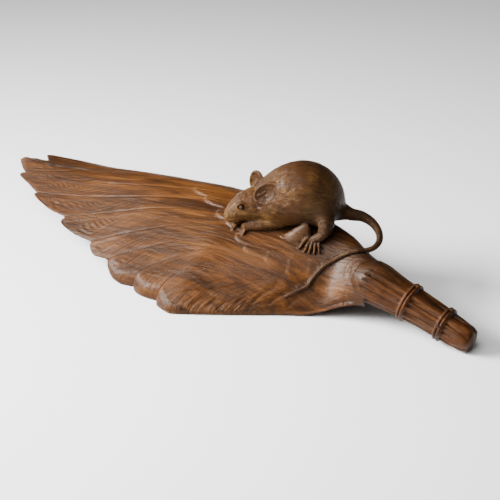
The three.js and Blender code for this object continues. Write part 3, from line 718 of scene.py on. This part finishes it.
# Limbs as round cones: forward, left, up, radius; feet: forward, left, lift, radius
NEAR_ARM = [
    [0.5, 0.22, -0.74, 0.27], [0.95, 0.3, -0.86, 0.26],
    [1.34, 0.27, -0.96, 0.23], [1.68, 0.22, -1.03, 0.19],
]
NEAR_HAND = [[1.86, 0.24, 0.13, 0.145]]
FAR_ARM = [[1.3, -0.55, -0.8, 0.19], [1.7, -0.4, -1.0, 0.16]]
FAR_HAND = [[2.08, -0.02, 0.13, 0.13]]
NEAR_LEG = [[-0.62, 0.75, -0.4, 0.34], [-0.66, 0.98, -0.62, 0.26], [-0.55, 1.1, -0.9, 0.17]]
NEAR_FOOT = [[-0.3, 1.05, 0.09, 0.13]]
FAR_LEG = [[-0.6, -0.6, -0.5, 0.3]]
FAR_FOOT = [[-0.5, -0.8, 0.2, 0.18], [-0.1, -0.78, 0.08, 0.12]]
HEELS = [[-0.12, 0.97], [-0.2, 1.03], [-0.28, 1.07], [-0.37, 1.09], [-0.45, 1.08]]
CLAWS = [[0.18, 1.17], [0.01, 1.28], [-0.13, 1.34], [-0.29, 1.38], [-0.45, 1.38]]
LIPS = [
    [2.5, 0.05, -0.93, 0.4], [2.32, 0.24, -0.92, 0.8], [2.1, 0.35, -0.88, 0.8], [1.94, 0.42, -0.84, 0.3],
]
EAR_THICK, EAR_CUP = 0.105, 0.15
EYE_R = 1.75
EYE_SOCKET = [3.3, 2.3, 2.2]


def limb(free, laid):
    """Round cones of a limb, its last ones on the wing."""
    line = [[*rat(a, b, c), r * BODY_R] for a, b, c, r in free]
    return line + [[*on_wing(a, b, c * BODY_R), r * BODY_R] for a, b, c, r in laid]


def digits():
    """Start, end and arch of every finger and toe."""
    R = BODY_R
    rows = []
    for k in (-1.5, -0.5, 0.5, 1.5):
        near_tip = on_wing(2.0 - 0.03 * abs(k), 0.33 + 0.09 * k, TOE_R * 0.4)
        far_tip = on_wing(2.3 - 0.03 * abs(k), 0.03 + 0.1 * k, TOE_R * 0.4)
        rows.append((on_wing(1.84, 0.26 + 0.05 * k, 0.12 * R), near_tip, 0.6))
        rows.append((on_wing(2.1, 0.05 * k, 0.12 * R), far_tip, 0.6))
    for heel, claw in zip(HEELS, CLAWS):
        rows.append((on_wing(*heel, 0.07 * R), on_wing(*claw, TOE_R * 0.35), 1.0))
    for k in (-1, 0, 1):
        rows.append((on_wing(-0.1, -0.78, 0.06 * R), on_wing(0.3, -0.78 + 0.12 * k, TOE_R * 0.4), 0.6))
    return rows


def animal_field(p):
    """Signed distance to the rat without its tail, in its own directions."""
    R = BODY_R
    spine = catmull([[a * R, b * R, c * R, r * R] for a, b, c, r in SPINE], 34)
    d = chain(p, spine)
    for at, radii, soft in (BELLY, CHEST):
        d = soft_min(d, egg(p, rat(*at), rat(*radii)), soft)
    for k in (1, -1):
        for a, mid, apart, c, radii in PAIRS:
            d = soft_min(d, egg(p, rat(a, mid + apart * k, c), rat(*radii)), PAIR_SOFT)
        local(p, rat(1.98, -0.06 + 0.33 * k, -0.3), 12, lambda q, k=k: egg(
            q, rat(1.98, -0.06 + 0.33 * k, -0.3), rat(*BROW_SIZE)), d, soft_min, 1.6)
        local(p, rat(2.2, 0.2 * k, -0.84), 10, lambda q, k=k: egg(
            q, rat(2.2, 0.02 + 0.14 * k, -0.84), rat(*LIP_SIZE)), d, soft_min, 1.5)
    # near foreleg, elbow to wrist, then the far one
    d = soft_min(d, chain(p, catmull(limb(NEAR_ARM, NEAR_HAND), 12)), 0.9)
    d = soft_min(d, chain(p, limb(FAR_ARM, FAR_HAND)), 1.0)
    # near hind leg, then the far one
    d = soft_min(d, chain(p, catmull(limb(NEAR_LEG, NEAR_FOOT), 10)), 2.0)
    d = soft_min(d, chain(p, limb(FAR_LEG, FAR_FOOT)), 2.0)
    for a, b, hang in digits():
        mid = (a + b) / 2 + np.array([0, 0, hang])
        line = catmull([[*a, TOE_R * 0.85], [*mid, TOE_R * 0.95], [*b, TOE_R * 0.5]], 5)
        local(p, mid, 16, lambda q, line=line: chain(q, line), d, soft_min, 0.5)
    # ears: a leaf with a hollow face and a small inner fold
    for at, axes, major, minor in (NEAR_EAR, FAR_EAR):
        m, s, n = axes
        shell = lambda q: egg(q, at, [major * R, minor * R, EAR_THICK * R], axes)
        local(p, at, 20, shell, d, soft_min, 1.2)
        hollow = [0.86 * major * R, 0.84 * minor * R, EAR_CUP * R]
        cup = lambda q: -egg(q, at + n * 0.11 * R, hollow, axes)
        local(p, at, 20, cup, d, soft_max, 0.5)
        crease = catmull([
            [*(at - m * 0.55 * major * R + s * 0.2 * minor * R), 0.9],
            [*(at - m * 0.3 * major * R + s * 0.1 * minor * R - n * 0.6), 0.7],
            [*(at + m * 0.05 * major * R + s * 0.3 * minor * R - n * 1.4), 0.4]], 6)
        fold = lambda q: chain(q, crease)
        local(p, at, 16, fold, d, soft_min, 0.8)
    # eyes with lids
    for i, at in enumerate(EYES):
        out = unit([0.35, 1.0 if i == 0 else -1.0, 0.35])
        axes = ear_axes(out, [0.9, 0.1, -0.45])
        socket = lambda q: -egg(q, at + out * 0.4, EYE_SOCKET, axes)
        local(p, at, 9, socket, d, soft_max, 0.6)
        ball = lambda q: np.linalg.norm(q - (at - out * 0.25), axis=-1) - EYE_R
        local(p, at, 9, ball, d, soft_min, 0.0)
    # mouth and nostrils
    lips = [[*rat(a, b, c), r] for a, b, c, r in LIPS]
    local(p, rat(2.25, 0.2, -0.9), 18, lambda q: -chain(q, catmull(lips, 8)), d, soft_max, 0.5)
    for k in (1, -1):
        local(p, rat(2.5, 0.05 + 0.06 * k, -0.8), 5, lambda q, k=k: -egg(
            q, rat(2.5, 0.05 + 0.085 * k, -0.81), [0.8, 0.55, 0.45]), d, soft_max, 0.3)
    return d


# The rat's grid: cell size in millimetres, cells in a block, blocks at a time, its corners
VOXEL = 0.62
BLOCK = 8
BATCH = 40
GRID_LO = [-1.75, -1.25, -1.95]
GRID_HI = [2.72, 1.65, 1.2]
FAR_AWAY = 3.0


def animal_mesh():
    """Skin of the rat's distance field, settled on the true surface."""
    voxel, block = VOXEL, BLOCK
    lo = rat(*GRID_LO)
    hi = rat(*GRID_HI)
    cells = np.ceil((hi - lo) / voxel / block).astype(int)
    # a coarse pass finds the blocks that the surface crosses
    start = np.stack(np.meshgrid(*[np.arange(n) for n in cells], indexing="ij"), -1).reshape(-1, 3) * block
    half = 0.5 * voxel * (block - 1)
    near = animal_field(lo + voxel * start + half)
    busy = np.abs(near) < 1.3 * half * 3**0.5 + 1.5
    inner = np.stack(np.meshgrid(*[np.arange(block)] * 3, indexing="ij"), -1).reshape(-1, 3)
    field = np.empty(cells * block, np.float32)
    value = np.empty((len(start), block**3))
    value[~busy] = np.where(near[~busy] > 0, FAR_AWAY, -FAR_AWAY)[:, None]
    todo = np.flatnonzero(busy)
    for i in range(0, len(todo), BATCH):
        part = todo[i:i + BATCH]
        points = lo + voxel * (start[part][:, None] + inner)
        value[part] = animal_field(points.reshape(-1, 3)).reshape(len(part), -1)
    for (i, j, k), v in zip(start, value):
        field[i:i + block, j:j + block, k:k + block] = v.reshape(block, block, block)
    grid = openvdb.FloatGrid()
    grid.background = FAR_AWAY
    grid.copyFromArray(np.clip(field / voxel, -FAR_AWAY, FAR_AWAY).astype(np.float32))
    points, _, quads = grid.convertToPolygons(isovalue=0.0, adaptivity=0.0)
    p = np.asarray(points, float) * voxel + lo
    quads = np.asarray(quads)[:, ::-1]
    # settle the points on the true surface
    for _ in range(2):
        value = animal_field(p)
        grad = np.stack([animal_field(p + e) - value for e in np.eye(3) * 0.1], -1) / 0.1
        grad /= np.maximum(np.linalg.norm(grad, axis=1), 0.3)[:, None]
        p -= np.clip(value, -0.6, 0.6)[:, None] * grad
    return place(p), quads


def tail_line(count):
    """Samples of the tail's middle with its radius."""
    free = [[*rat(a, b, c), r * TAIL_R] for a, b, c, r in TAIL]
    laid = [[*on_wing(a, b, 0.8 * r * TAIL_R), r * TAIL_R] for a, b, r in TAIL_LAID]
    return catmull(free + laid, count)


def tail_mesh():
    """Tail with fine rings across it."""
    path = tail_line(420)
    length = np.concatenate([[0], np.cumsum(np.linalg.norm(np.diff(path[:, :3], axis=0), axis=1))])
    ring = 1 + 0.045 * np.sin(2 * np.pi * length / 1.9) * smooth((path[:, 3] - 0.8) / 1.0)
    return rings_mesh(tube_rings(place(path[:, :3]), path[:, 3] * ring, 18))


# The raised wing joint beside the rat: length share, width share, height, half width
JOINT = [
    [0.226, 0.562, 0.1, 2.2], [0.219, 0.57, 0.5, 3.3], [0.208, 0.585, 3, 4.6],
    [0.197, 0.6, 6.2, 5.2], [0.185, 0.617, 9.6, 5.4], [0.1795, 0.626, 10.4, 5.1],
    [0.176, 0.632, 9.4, 4.5], [0.1735, 0.637, 6.6, 3.6],
]
# Its section: across, up; and the plan direction across it
JOINT_SECTION = [
    [-1.15, -4], [-1.08, -0.6], [-0.95, 0.3], [-0.35, 0.95],
    [0.2, 0.88], [0.75, 0.4], [1.1, -0.1], [1.2, -4],
]
JOINT_SIDE = [0.8, -0.6]


def joint_mesh():
    """Faceted stump of the wing joint."""
    st = np.array(JOINT)
    k = np.linspace(0, len(st) - 1, 46)
    st = hermite(st, np.arange(len(st)), k)
    shape = catmull([[a, b, 0] for a, b in JOINT_SECTION], 34)[:, :2]
    rings = []
    for u, v, h, w in st:
        x = -WING_L * u + shape[:, 0] * JOINT_SIDE[0] * w
        y = WING_W * v + shape[:, 0] * JOINT_SIDE[1] * w
        facet = 0.25 * np.sin(9 * shape[:, 0] + 30 * u)
        z = top(x, y) + np.where(shape[:, 1] < -0.5, shape[:, 1], shape[:, 1] * h + facet * 0.5)
        rings.append(np.stack([x, y, z], -1))
    return rings_mesh(rings)


def knot_mesh(s, w, size):
    """Rounded knot on the handle."""
    base = HANDLE_R * float(read(HANDLE, s))
    at = grip_point(s, w, base + 0.6)
    th = np.linspace(0.12, np.pi - 0.12, 16)
    ph = 2 * np.pi * np.arange(20) / 20
    out = unit(at - grip_point(s, w, 0))
    along = np.array([math.cos(TILT), 0, -math.sin(TILT)])
    third = np.cross(out, along)
    a = np.sign(np.cos(ph)) * np.abs(np.cos(ph)) ** 0.75
    b = np.sign(np.sin(ph)) * np.abs(np.sin(ph)) ** 0.75
    flat = a[:, None] * along * size * 1.45 + b[:, None] * third * size
    return rings_mesh([at + out * np.cos(t) * size * 0.9 + np.sin(t) * flat for t in th])


def as_object(name, verts, faces):
    mesh = bpy.data.meshes.new(name)
    mesh.from_pydata([tuple(v) for v in verts], [], [tuple(int(i) for i in f) for f in faces])
    mesh.validate()
    obj = bpy.data.objects.new(name, mesh)
    bpy.context.scene.collection.objects.link(obj)
    return obj


def vertex_array(mesh, what="co"):
    values = np.empty(len(mesh.vertices) * 3)
    mesh.vertices.foreach_get(what, values)
    return values.reshape(-1, 3)


def outward(obj):
    """Turns all faces outward if the enclosed volume is negative."""
    mesh = obj.data
    mesh.calc_loop_triangles()
    co = vertex_array(mesh)
    tri = np.empty(len(mesh.loop_triangles) * 3, int)
    mesh.loop_triangles.foreach_get("vertices", tri)
    a, b, c = co[tri.reshape(-1, 3)].transpose(1, 0, 2)
    volume = np.einsum("ij,ij->i", a, np.cross(b, c)).sum() / 6
    if volume < 0:
        mesh.flip_normals()


def evaluated(obj):
    graph = bpy.context.evaluated_depsgraph_get()
    return bpy.data.meshes.new_from_object(obj.evaluated_get(graph))


def unite(base, others):
    """Joins closed shapes into one closed skin."""
    for other in others:
        mod = base.modifiers.new("join", "BOOLEAN")
        mod.operation = "UNION"
        mod.solver = "MANIFOLD"
        mod.object = other
        mesh = evaluated(base)
        base.modifiers.clear()
        base.data = mesh
        bpy.data.objects.remove(other)
    return base


wing_verts, wing_faces, barb_lines = wing_mesh()
shapes = [
    as_object("carving", wing_verts, wing_faces),
    as_object("grip", *handle_mesh()),
    as_object("joint", *joint_mesh()),
    as_object("knot_a", *knot_mesh(BINDINGS[0] + 0.005, 1.35, 2.0)),
    as_object("knot_b", *knot_mesh(BINDINGS[1] + 0.005, 1.35, 2.0)),
    as_object("knot_c", *knot_mesh(BINDINGS[1] - 0.01, 2.75, 1.5)),
    as_object("tail", *tail_mesh()),
    as_object("animal", *animal_mesh()),
]
for shape in shapes:
    outward(shape)
carving = unite(shapes[0], shapes[1:])

# Triangles kept in the one piece
LIMIT = 194000
carving.data.calc_loop_triangles()
total = len(carving.data.loop_triangles)
if total > LIMIT:
    mod = carving.modifiers.new("thin", "DECIMATE")
    mod.ratio = LIMIT / total
    carving.data = evaluated(carving)
    carving.modifiers.clear()


def paint(mesh, name, values):
    layer = mesh.attributes.new(name, "FLOAT", "POINT")
    layer.data.foreach_set("value", np.asarray(values, np.float32))


def curvature(mesh, co, rounds):
    """Positive on edges, negative in cuts, averaged over nearby points."""
    e = np.empty(len(mesh.edges) * 2, int)
    mesh.edges.foreach_get("vertices", e)
    a, b = e.reshape(-1, 2).T
    n = vertex_array(mesh, "normal")
    count = len(co)
    deg = np.maximum(np.bincount(a, minlength=count) + np.bincount(b, minlength=count), 1)
    d = co[a] - co[b]
    size = np.maximum(np.linalg.norm(d, axis=1), 0.05)
    bend_a = np.einsum("ij,ij->i", d, n[a]) / size
    bend_b = -np.einsum("ij,ij->i", d, n[b]) / size
    k = (np.bincount(a, bend_a, count) + np.bincount(b, bend_b, count)) / deg
    for _ in range(rounds):
        k = 0.4 * k + 0.6 * (np.bincount(a, k[b], count) + np.bincount(b, k[a], count)) / deg
    return k


# Masks for the wood, from the shape; then out of millimetres and into the part's box
INSIDE = 1e-5
EDGE_SHOW, CUT_SHOW, HOLLOW_SHOW = 2.2, 2.6, 6.0
# Painted shade and shadow under the rat, behind it, on its thigh and at the wing's root; its eyes and tail
# are darker wood
SHADE_REACH = 5.0
DOME_X, DOME_LONG, DOME_Y, DOME_WIDE = -45, 38, 70, 25
LEG_AT, LEG_WIDE = rat(-0.5, 0.9, -0.75), 0.6 * BODY_R
EYE_WIDE = 2.3
ROOT_X, ROOT_LONG = -26, 20
SHADE_DARK, DOME_DARK, LEG_DARK, TAIL_DARK, ROOT_DARK = 0.75, 0.6, 1.1, 0.6, 0.95
co = vertex_array(carving.data)
co[:, 2] = np.maximum(co[:, 2], 0)
sharp = curvature(carving.data, co, 1)
broad = curvature(carving.data, co, 10)
# edge lightens the edges: a painted highlight together with wear; cut and hollow darken grooves and
# hollows: painted shade together with grime
paint(carving.data, "edge", clamp(sharp * EDGE_SHOW))
paint(carving.data, "cut", clamp(-sharp * CUT_SHOW))
paint(carving.data, "hollow", clamp(-broad * HOLLOW_SHOW))
local_co = unplace(co)
body = animal_field(local_co)
tail_d = chain(local_co, tail_line(60))
paint(carving.data, "rat", smooth((0.9 - np.minimum(body, tail_d * 1.3)) / 0.8))
shade = np.exp(-np.maximum(body, 0) / SHADE_REACH) * (body > 0.3)
dome = np.exp(-(((co[:, 0] - DOME_X) / DOME_LONG) ** 2)) * smooth((co[:, 1] - DOME_Y) / DOME_WIDE)
leg = np.exp(-(np.linalg.norm(local_co - LEG_AT, axis=1) / LEG_WIDE) ** 2)
eye = np.max([np.linalg.norm(local_co - at, axis=1) < EYE_WIDE for at in EYES], axis=0)
root = smooth((co[:, 0] - ROOT_X) / ROOT_LONG) * (co[:, 0] < 1)
# painted shade and shadow near the rat, on its thigh and at the wing's root, with the darker wood of its
# eyes and tail
paint(carving.data, "shade_and_dark_parts", clamp(
    SHADE_DARK * shade + DOME_DARK * dome + LEG_DARK * leg + TAIL_DARK * (tail_d < 0.6)
    + ROOT_DARK * root + eye))
paint(carving.data, "grip", smooth((co[:, 0] + 2) / 3))
# each point takes the barb lines of the nearest point of the wing's grid
tree = mathutils.kdtree.KDTree(len(barb_lines))
for i, (x, y) in enumerate(barb_lines[:, :2]):
    tree.insert((x, y, 0), i)
tree.balance()
nearest = np.array([tree.find((x, y, 0))[1] for x, y in co[:, :2]])
for i, name in enumerate(("barb_along", "barb_across", "barb_fade")):
    paint(carving.data, name, barb_lines[nearest, i + 2])
box_lo, box_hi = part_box(NODE)
shift = np.array([box_lo.x * 1000 + FRAME_X, box_lo.y * 1000 + FRAME_Y, 0])
out = (co + shift) / 1000
out = np.clip(out, np.array(box_lo) + INSIDE, np.array(box_hi) - INSIDE)
carving.data.vertices.foreach_set("co", out.ravel())
carving.data.update()
carving.name = "carving"
carving.data.name = "carving"
for poly in carving.data.polygons:
    poly.use_smooth = True


# Wood: ramps of place and colour, then painted shade, painted highlight and wear laid over them by mask
# and strength
GRAIN = [
    (0.28, (0.014, 0.0045, 0.001)), (0.44, (0.036, 0.0125, 0.0022)),
    (0.55, (0.062, 0.0225, 0.0038)), (0.72, (0.088, 0.034, 0.0064)),
]
TONE = [(0.35, (0.70, 0.66, 0.66)), (0.65, (1.22, 1.08, 0.98))]
PORES = [(0.36, (0.45, 0.4, 0.4)), (0.5, (1, 1, 1))]
BARB_TONE = [(0.38, (0.42, 0.38, 0.36)), (0.5, (1.0, 1.0, 1.0)), (0.62, (1.25, 1.2, 1.15))]
HIDE = [
    (0.34, (0.018, 0.0052, 0.0011)), (0.5, (0.042, 0.016, 0.0034)), (0.62, (0.07, 0.033, 0.0075)),
]
FUR_TONE = [(0.4, (0.4, 0.38, 0.36)), (0.52, (1.0, 1.0, 1.0)), (0.64, (1.5, 1.45, 1.4))]
GRIP_DARK, GRIP_LIGHT = (0.5, 0.42, 0.42), (0.85, 0.82, 0.8)
# Painted shade near the rat with its darker eyes and tail, painted shade with grime in cuts and hollows,
# painted highlight with wear on edges
SHADE_SHEEN_AND_WEAR = [
    ("shade_and_dark_parts", 0.62, (0.008, 0.0035, 0.0016)), ("hollow", 0.75, (0.005, 0.002, 0.001)),
    ("cut", 0.85, (0.004, 0.0016, 0.0008)), ("edge", 0.18, (0.11, 0.045, 0.015)),
]
FINISH = {
    "IOR": 1.5, "Specular IOR Level": 0.17, "Specular Tint": (1.0, 0.74, 0.58, 1),
    "Coat Weight": 0.035, "Coat Roughness": 0.16,
}
# Stretch of each pattern along the wood, across it and up
GRAIN_SCALE, TONE_SCALE, PORE_SCALE = (9, 120, 60), (12, 40, 30), (60, 900, 500)
TOOL_SCALE, FUR_SCALE, GRIP_SCALE = (45, 420, 300), (60, 420, 300), (20, 60, 60)
GRAIN_ANGLE = math.radians(-6)
FUR_ANGLE = math.radians(-35)
FUR_HEIGHT = 2.2
BUMP = {"Strength": 0.8, "Distance": 0.0013}


def wood():
    """Oiled dark wood, with grain, cuts and hair that follow the carving."""
    mat = bpy.data.materials.new("carved_wood")
    mat.use_nodes = True
    tree = mat.node_tree
    tree.nodes.clear()
    link = tree.links.new

    def node(kind, **values):
        n = tree.nodes.new(kind)
        for key, value in values.items():
            if key in n.inputs:
                n.inputs[key].default_value = value
            else:
                setattr(n, key, value)
        return n

    def math_node(op, a, b, c=None, cap=False):
        n = node("ShaderNodeMath", operation=op, use_clamp=cap)
        for i, v in enumerate((a, b, c)):
            if v is None:
                continue
            if isinstance(v, (int, float)):
                n.inputs[i].default_value = v
            else:
                link(v, n.inputs[i])
        return n.outputs[0]

    def attribute(name):
        return node("ShaderNodeAttribute", attribute_name=name).outputs["Fac"]

    def mapped(source, scale, rotation=(0, 0, 0)):
        n = node("ShaderNodeMapping")
        n.inputs["Scale"].default_value = scale
        n.inputs["Rotation"].default_value = rotation
        link(source, n.inputs["Vector"])
        return n.outputs[0]

    def noise_tex(source, scale, detail, rough=0.5, distortion=0.0):
        n = node("ShaderNodeTexNoise", Scale=scale, Detail=detail, Roughness=rough, Distortion=distortion)
        link(source, n.inputs["Vector"])
        return n.outputs["Fac"]

    def ramp(source, stops):
        n = node("ShaderNodeValToRGB")
        cr = n.color_ramp
        while len(cr.elements) < len(stops):
            cr.elements.new(0.5)
        for e, (pos, col) in zip(cr.elements, stops):
            e.position = pos
            e.color = (*col, 1)
        link(source, n.inputs["Fac"])
        return n.outputs["Color"]

    def blend(fac, a, b, kind="MIX"):
        n = node("ShaderNodeMix", data_type="RGBA", blend_type=kind)
        for sock, v in ((n.inputs[0], fac), (n.inputs[6], a), (n.inputs[7], b)):
            if isinstance(v, (int, float)):
                sock.default_value = v
            elif isinstance(v, tuple):
                sock.default_value = (*v, 1)
            else:
                link(v, sock)
        return n.outputs[2]

    def blend_value(fac, a, b):
        n = node("ShaderNodeMix", data_type="FLOAT")
        for i, v in ((0, fac), (2, a), (3, b)):
            link(v, n.inputs[i])
        return n.outputs[0]

    coord = node("ShaderNodeTexCoord").outputs["Object"]
    turned = mapped(coord, (1, 1, 1), (0, 0, GRAIN_ANGLE))
    streak = noise_tex(mapped(turned, GRAIN_SCALE), 1.6, 6, 0.62, 0.6)
    broad = noise_tex(mapped(turned, TONE_SCALE), 1.0, 3, 0.5, 0.4)
    fine = noise_tex(mapped(turned, PORE_SCALE), 1.0, 3, 0.6)
    grain = ramp(streak, GRAIN)
    colour = blend(0.8, grain, ramp(broad, TONE), "MULTIPLY")
    colour = blend(0.45, colour, ramp(fine, PORES), "MULTIPLY")
    # fine cut barbs, following the carved ones
    lines_at = node("ShaderNodeCombineXYZ")
    link(attribute("barb_along"), lines_at.inputs[0])
    link(math_node("MULTIPLY", attribute("barb_across"), 0.12), lines_at.inputs[1])
    barb = noise_tex(lines_at.outputs[0], 0.55, 3, 0.6)
    barb_amount = math_node("MULTIPLY_ADD", attribute("barb_fade"), 0.75, 0.2)
    colour = blend(math_node("MULTIPLY", barb_amount, 0.8), colour, ramp(barb, BARB_TONE), "MULTIPLY")
    # reddish, darker wood of the handle and the olive-brown rat
    red = blend(noise_tex(mapped(coord, GRIP_SCALE), 1.0, 2), GRIP_DARK, GRIP_LIGHT)
    colour = blend(attribute("grip"), colour, blend(1.0, colour, red, "MULTIPLY"))
    rat_mask = attribute("rat")
    blotch = noise_tex(coord, 45, 3, 0.55)
    fur_coord = mapped(coord, (1, 1, 1), (0, 0, FUR_ANGLE))
    fur = noise_tex(mapped(fur_coord, FUR_SCALE), 1.0, 4, 0.65, 0.4)
    hide = blend(0.75, ramp(blotch, HIDE), ramp(fur, FUR_TONE), "MULTIPLY")
    colour = blend(rat_mask, colour, blend(0.3, hide, grain))
    # painted shade, painted highlight, wear and darker parts, each by its mask
    for mask, strength, overlay_colour in SHADE_SHEEN_AND_WEAR:
        colour = blend(math_node("MULTIPLY", attribute(mask), strength), colour, overlay_colour)

    shader = node("ShaderNodeBsdfPrincipled")
    for name, value in FINISH.items():
        shader.inputs[name].default_value = value
    link(colour, shader.inputs["Base Color"])
    rough = math_node("MULTIPLY_ADD", streak, 0.24, 0.33)
    rough = math_node("SUBTRACT", rough, math_node("MULTIPLY", attribute("edge"), 0.06))
    rough = math_node("ADD", rough, math_node("MULTIPLY", attribute("cut"), 0.2), cap=True)
    link(rough, shader.inputs["Roughness"])
    # fine carving and open grain
    tools = noise_tex(mapped(turned, TOOL_SCALE), 1.0, 4, 0.6, 0.3)
    vane = blend_value(barb_amount, tools, barb)
    bump = node("ShaderNodeBump", **BUMP)
    link(blend_value(rat_mask, vane, math_node("MULTIPLY", fur, FUR_HEIGHT)), bump.inputs["Height"])
    link(bump.outputs[0], shader.inputs["Normal"])
    out_node = node("ShaderNodeOutputMaterial")
    link(shader.outputs[0], out_node.inputs["Surface"])
    return mat


carving.data.materials.clear()
carving.data.materials.append(wood())
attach(carving, "root")
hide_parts(NODE)


# Table
FLOOR_SIZE = 12
FLOOR_GREY = 0.8
FLOOR_ROUGH = 0.9
bpy.ops.mesh.primitive_plane_add(size=FLOOR_SIZE, location=(0, 0, 0))
floor = bpy.context.object
floor.name = "table"
pale = bpy.data.materials.new("pale_table")
pale.use_nodes = True
sockets = pale.node_tree.nodes["Principled BSDF"].inputs
sockets["Base Color"].default_value = (FLOOR_GREY, FLOOR_GREY, FLOOR_GREY, 1)
sockets["Roughness"].default_value = FLOOR_ROUGH
floor.data.materials.append(pale)


def aim(obj, spot, direction):
    obj.location = spot
    obj.rotation_euler = Vector(direction).to_track_quat("-Z", "Y").to_euler()
    bpy.context.scene.collection.objects.link(obj)


# Soft lamps: name, place, target and size in metres, watts, spread in degrees
LAMPS = [
    ("key", (-0.8, -0.62, 0.56), (-0.03, -0.16, 0), (0.7, 0.55), 14.5, 62),
    ("rim", (-0.95, 0.3, 0.42), (-0.05, 0, 0.03), (0.4, 0.3), 1.5, 180),
    ("top", (0.05, -0.6, 1.0), (0.05, -0.05, 0), (0.9, 0.9), 5.5, 100),
]
WORLD_LIGHT = 0.11
for name, spot, target, size, watts, spread in LAMPS:
    lamp = bpy.data.lights.new(name, "AREA")
    lamp.shape = "RECTANGLE"
    lamp.size, lamp.size_y = size
    lamp.energy = watts
    lamp.spread = math.radians(spread)
    aim(bpy.data.objects.new(name, lamp), spot, Vector(target) - Vector(spot))
world = bpy.data.worlds.new("studio")
bpy.context.scene.world = world
world.use_nodes = True
sky = world.node_tree.nodes["Background"].inputs
sky["Color"].default_value = (1, 1, 1, 1)
sky["Strength"].default_value = WORLD_LIGHT

# Camera: turn and height of the view, distance in metres, point looked at
VIEW_AZ, VIEW_EL, VIEW_D = math.radians(35), math.radians(30), 1.3
TARGET = np.array([0.0037, 0.0414, 0.0])
LENS, SENSOR = 121.68, 36
away = np.array([
    math.sin(VIEW_AZ) * math.cos(VIEW_EL), -math.cos(VIEW_AZ) * math.cos(VIEW_EL), math.sin(VIEW_EL)])
view = bpy.data.cameras.new("view")
view.sensor_width = SENSOR
view.lens = LENS
camera = bpy.data.objects.new("view", view)
aim(camera, TARGET + away * VIEW_D, -away)
bpy.context.scene.camera = camera
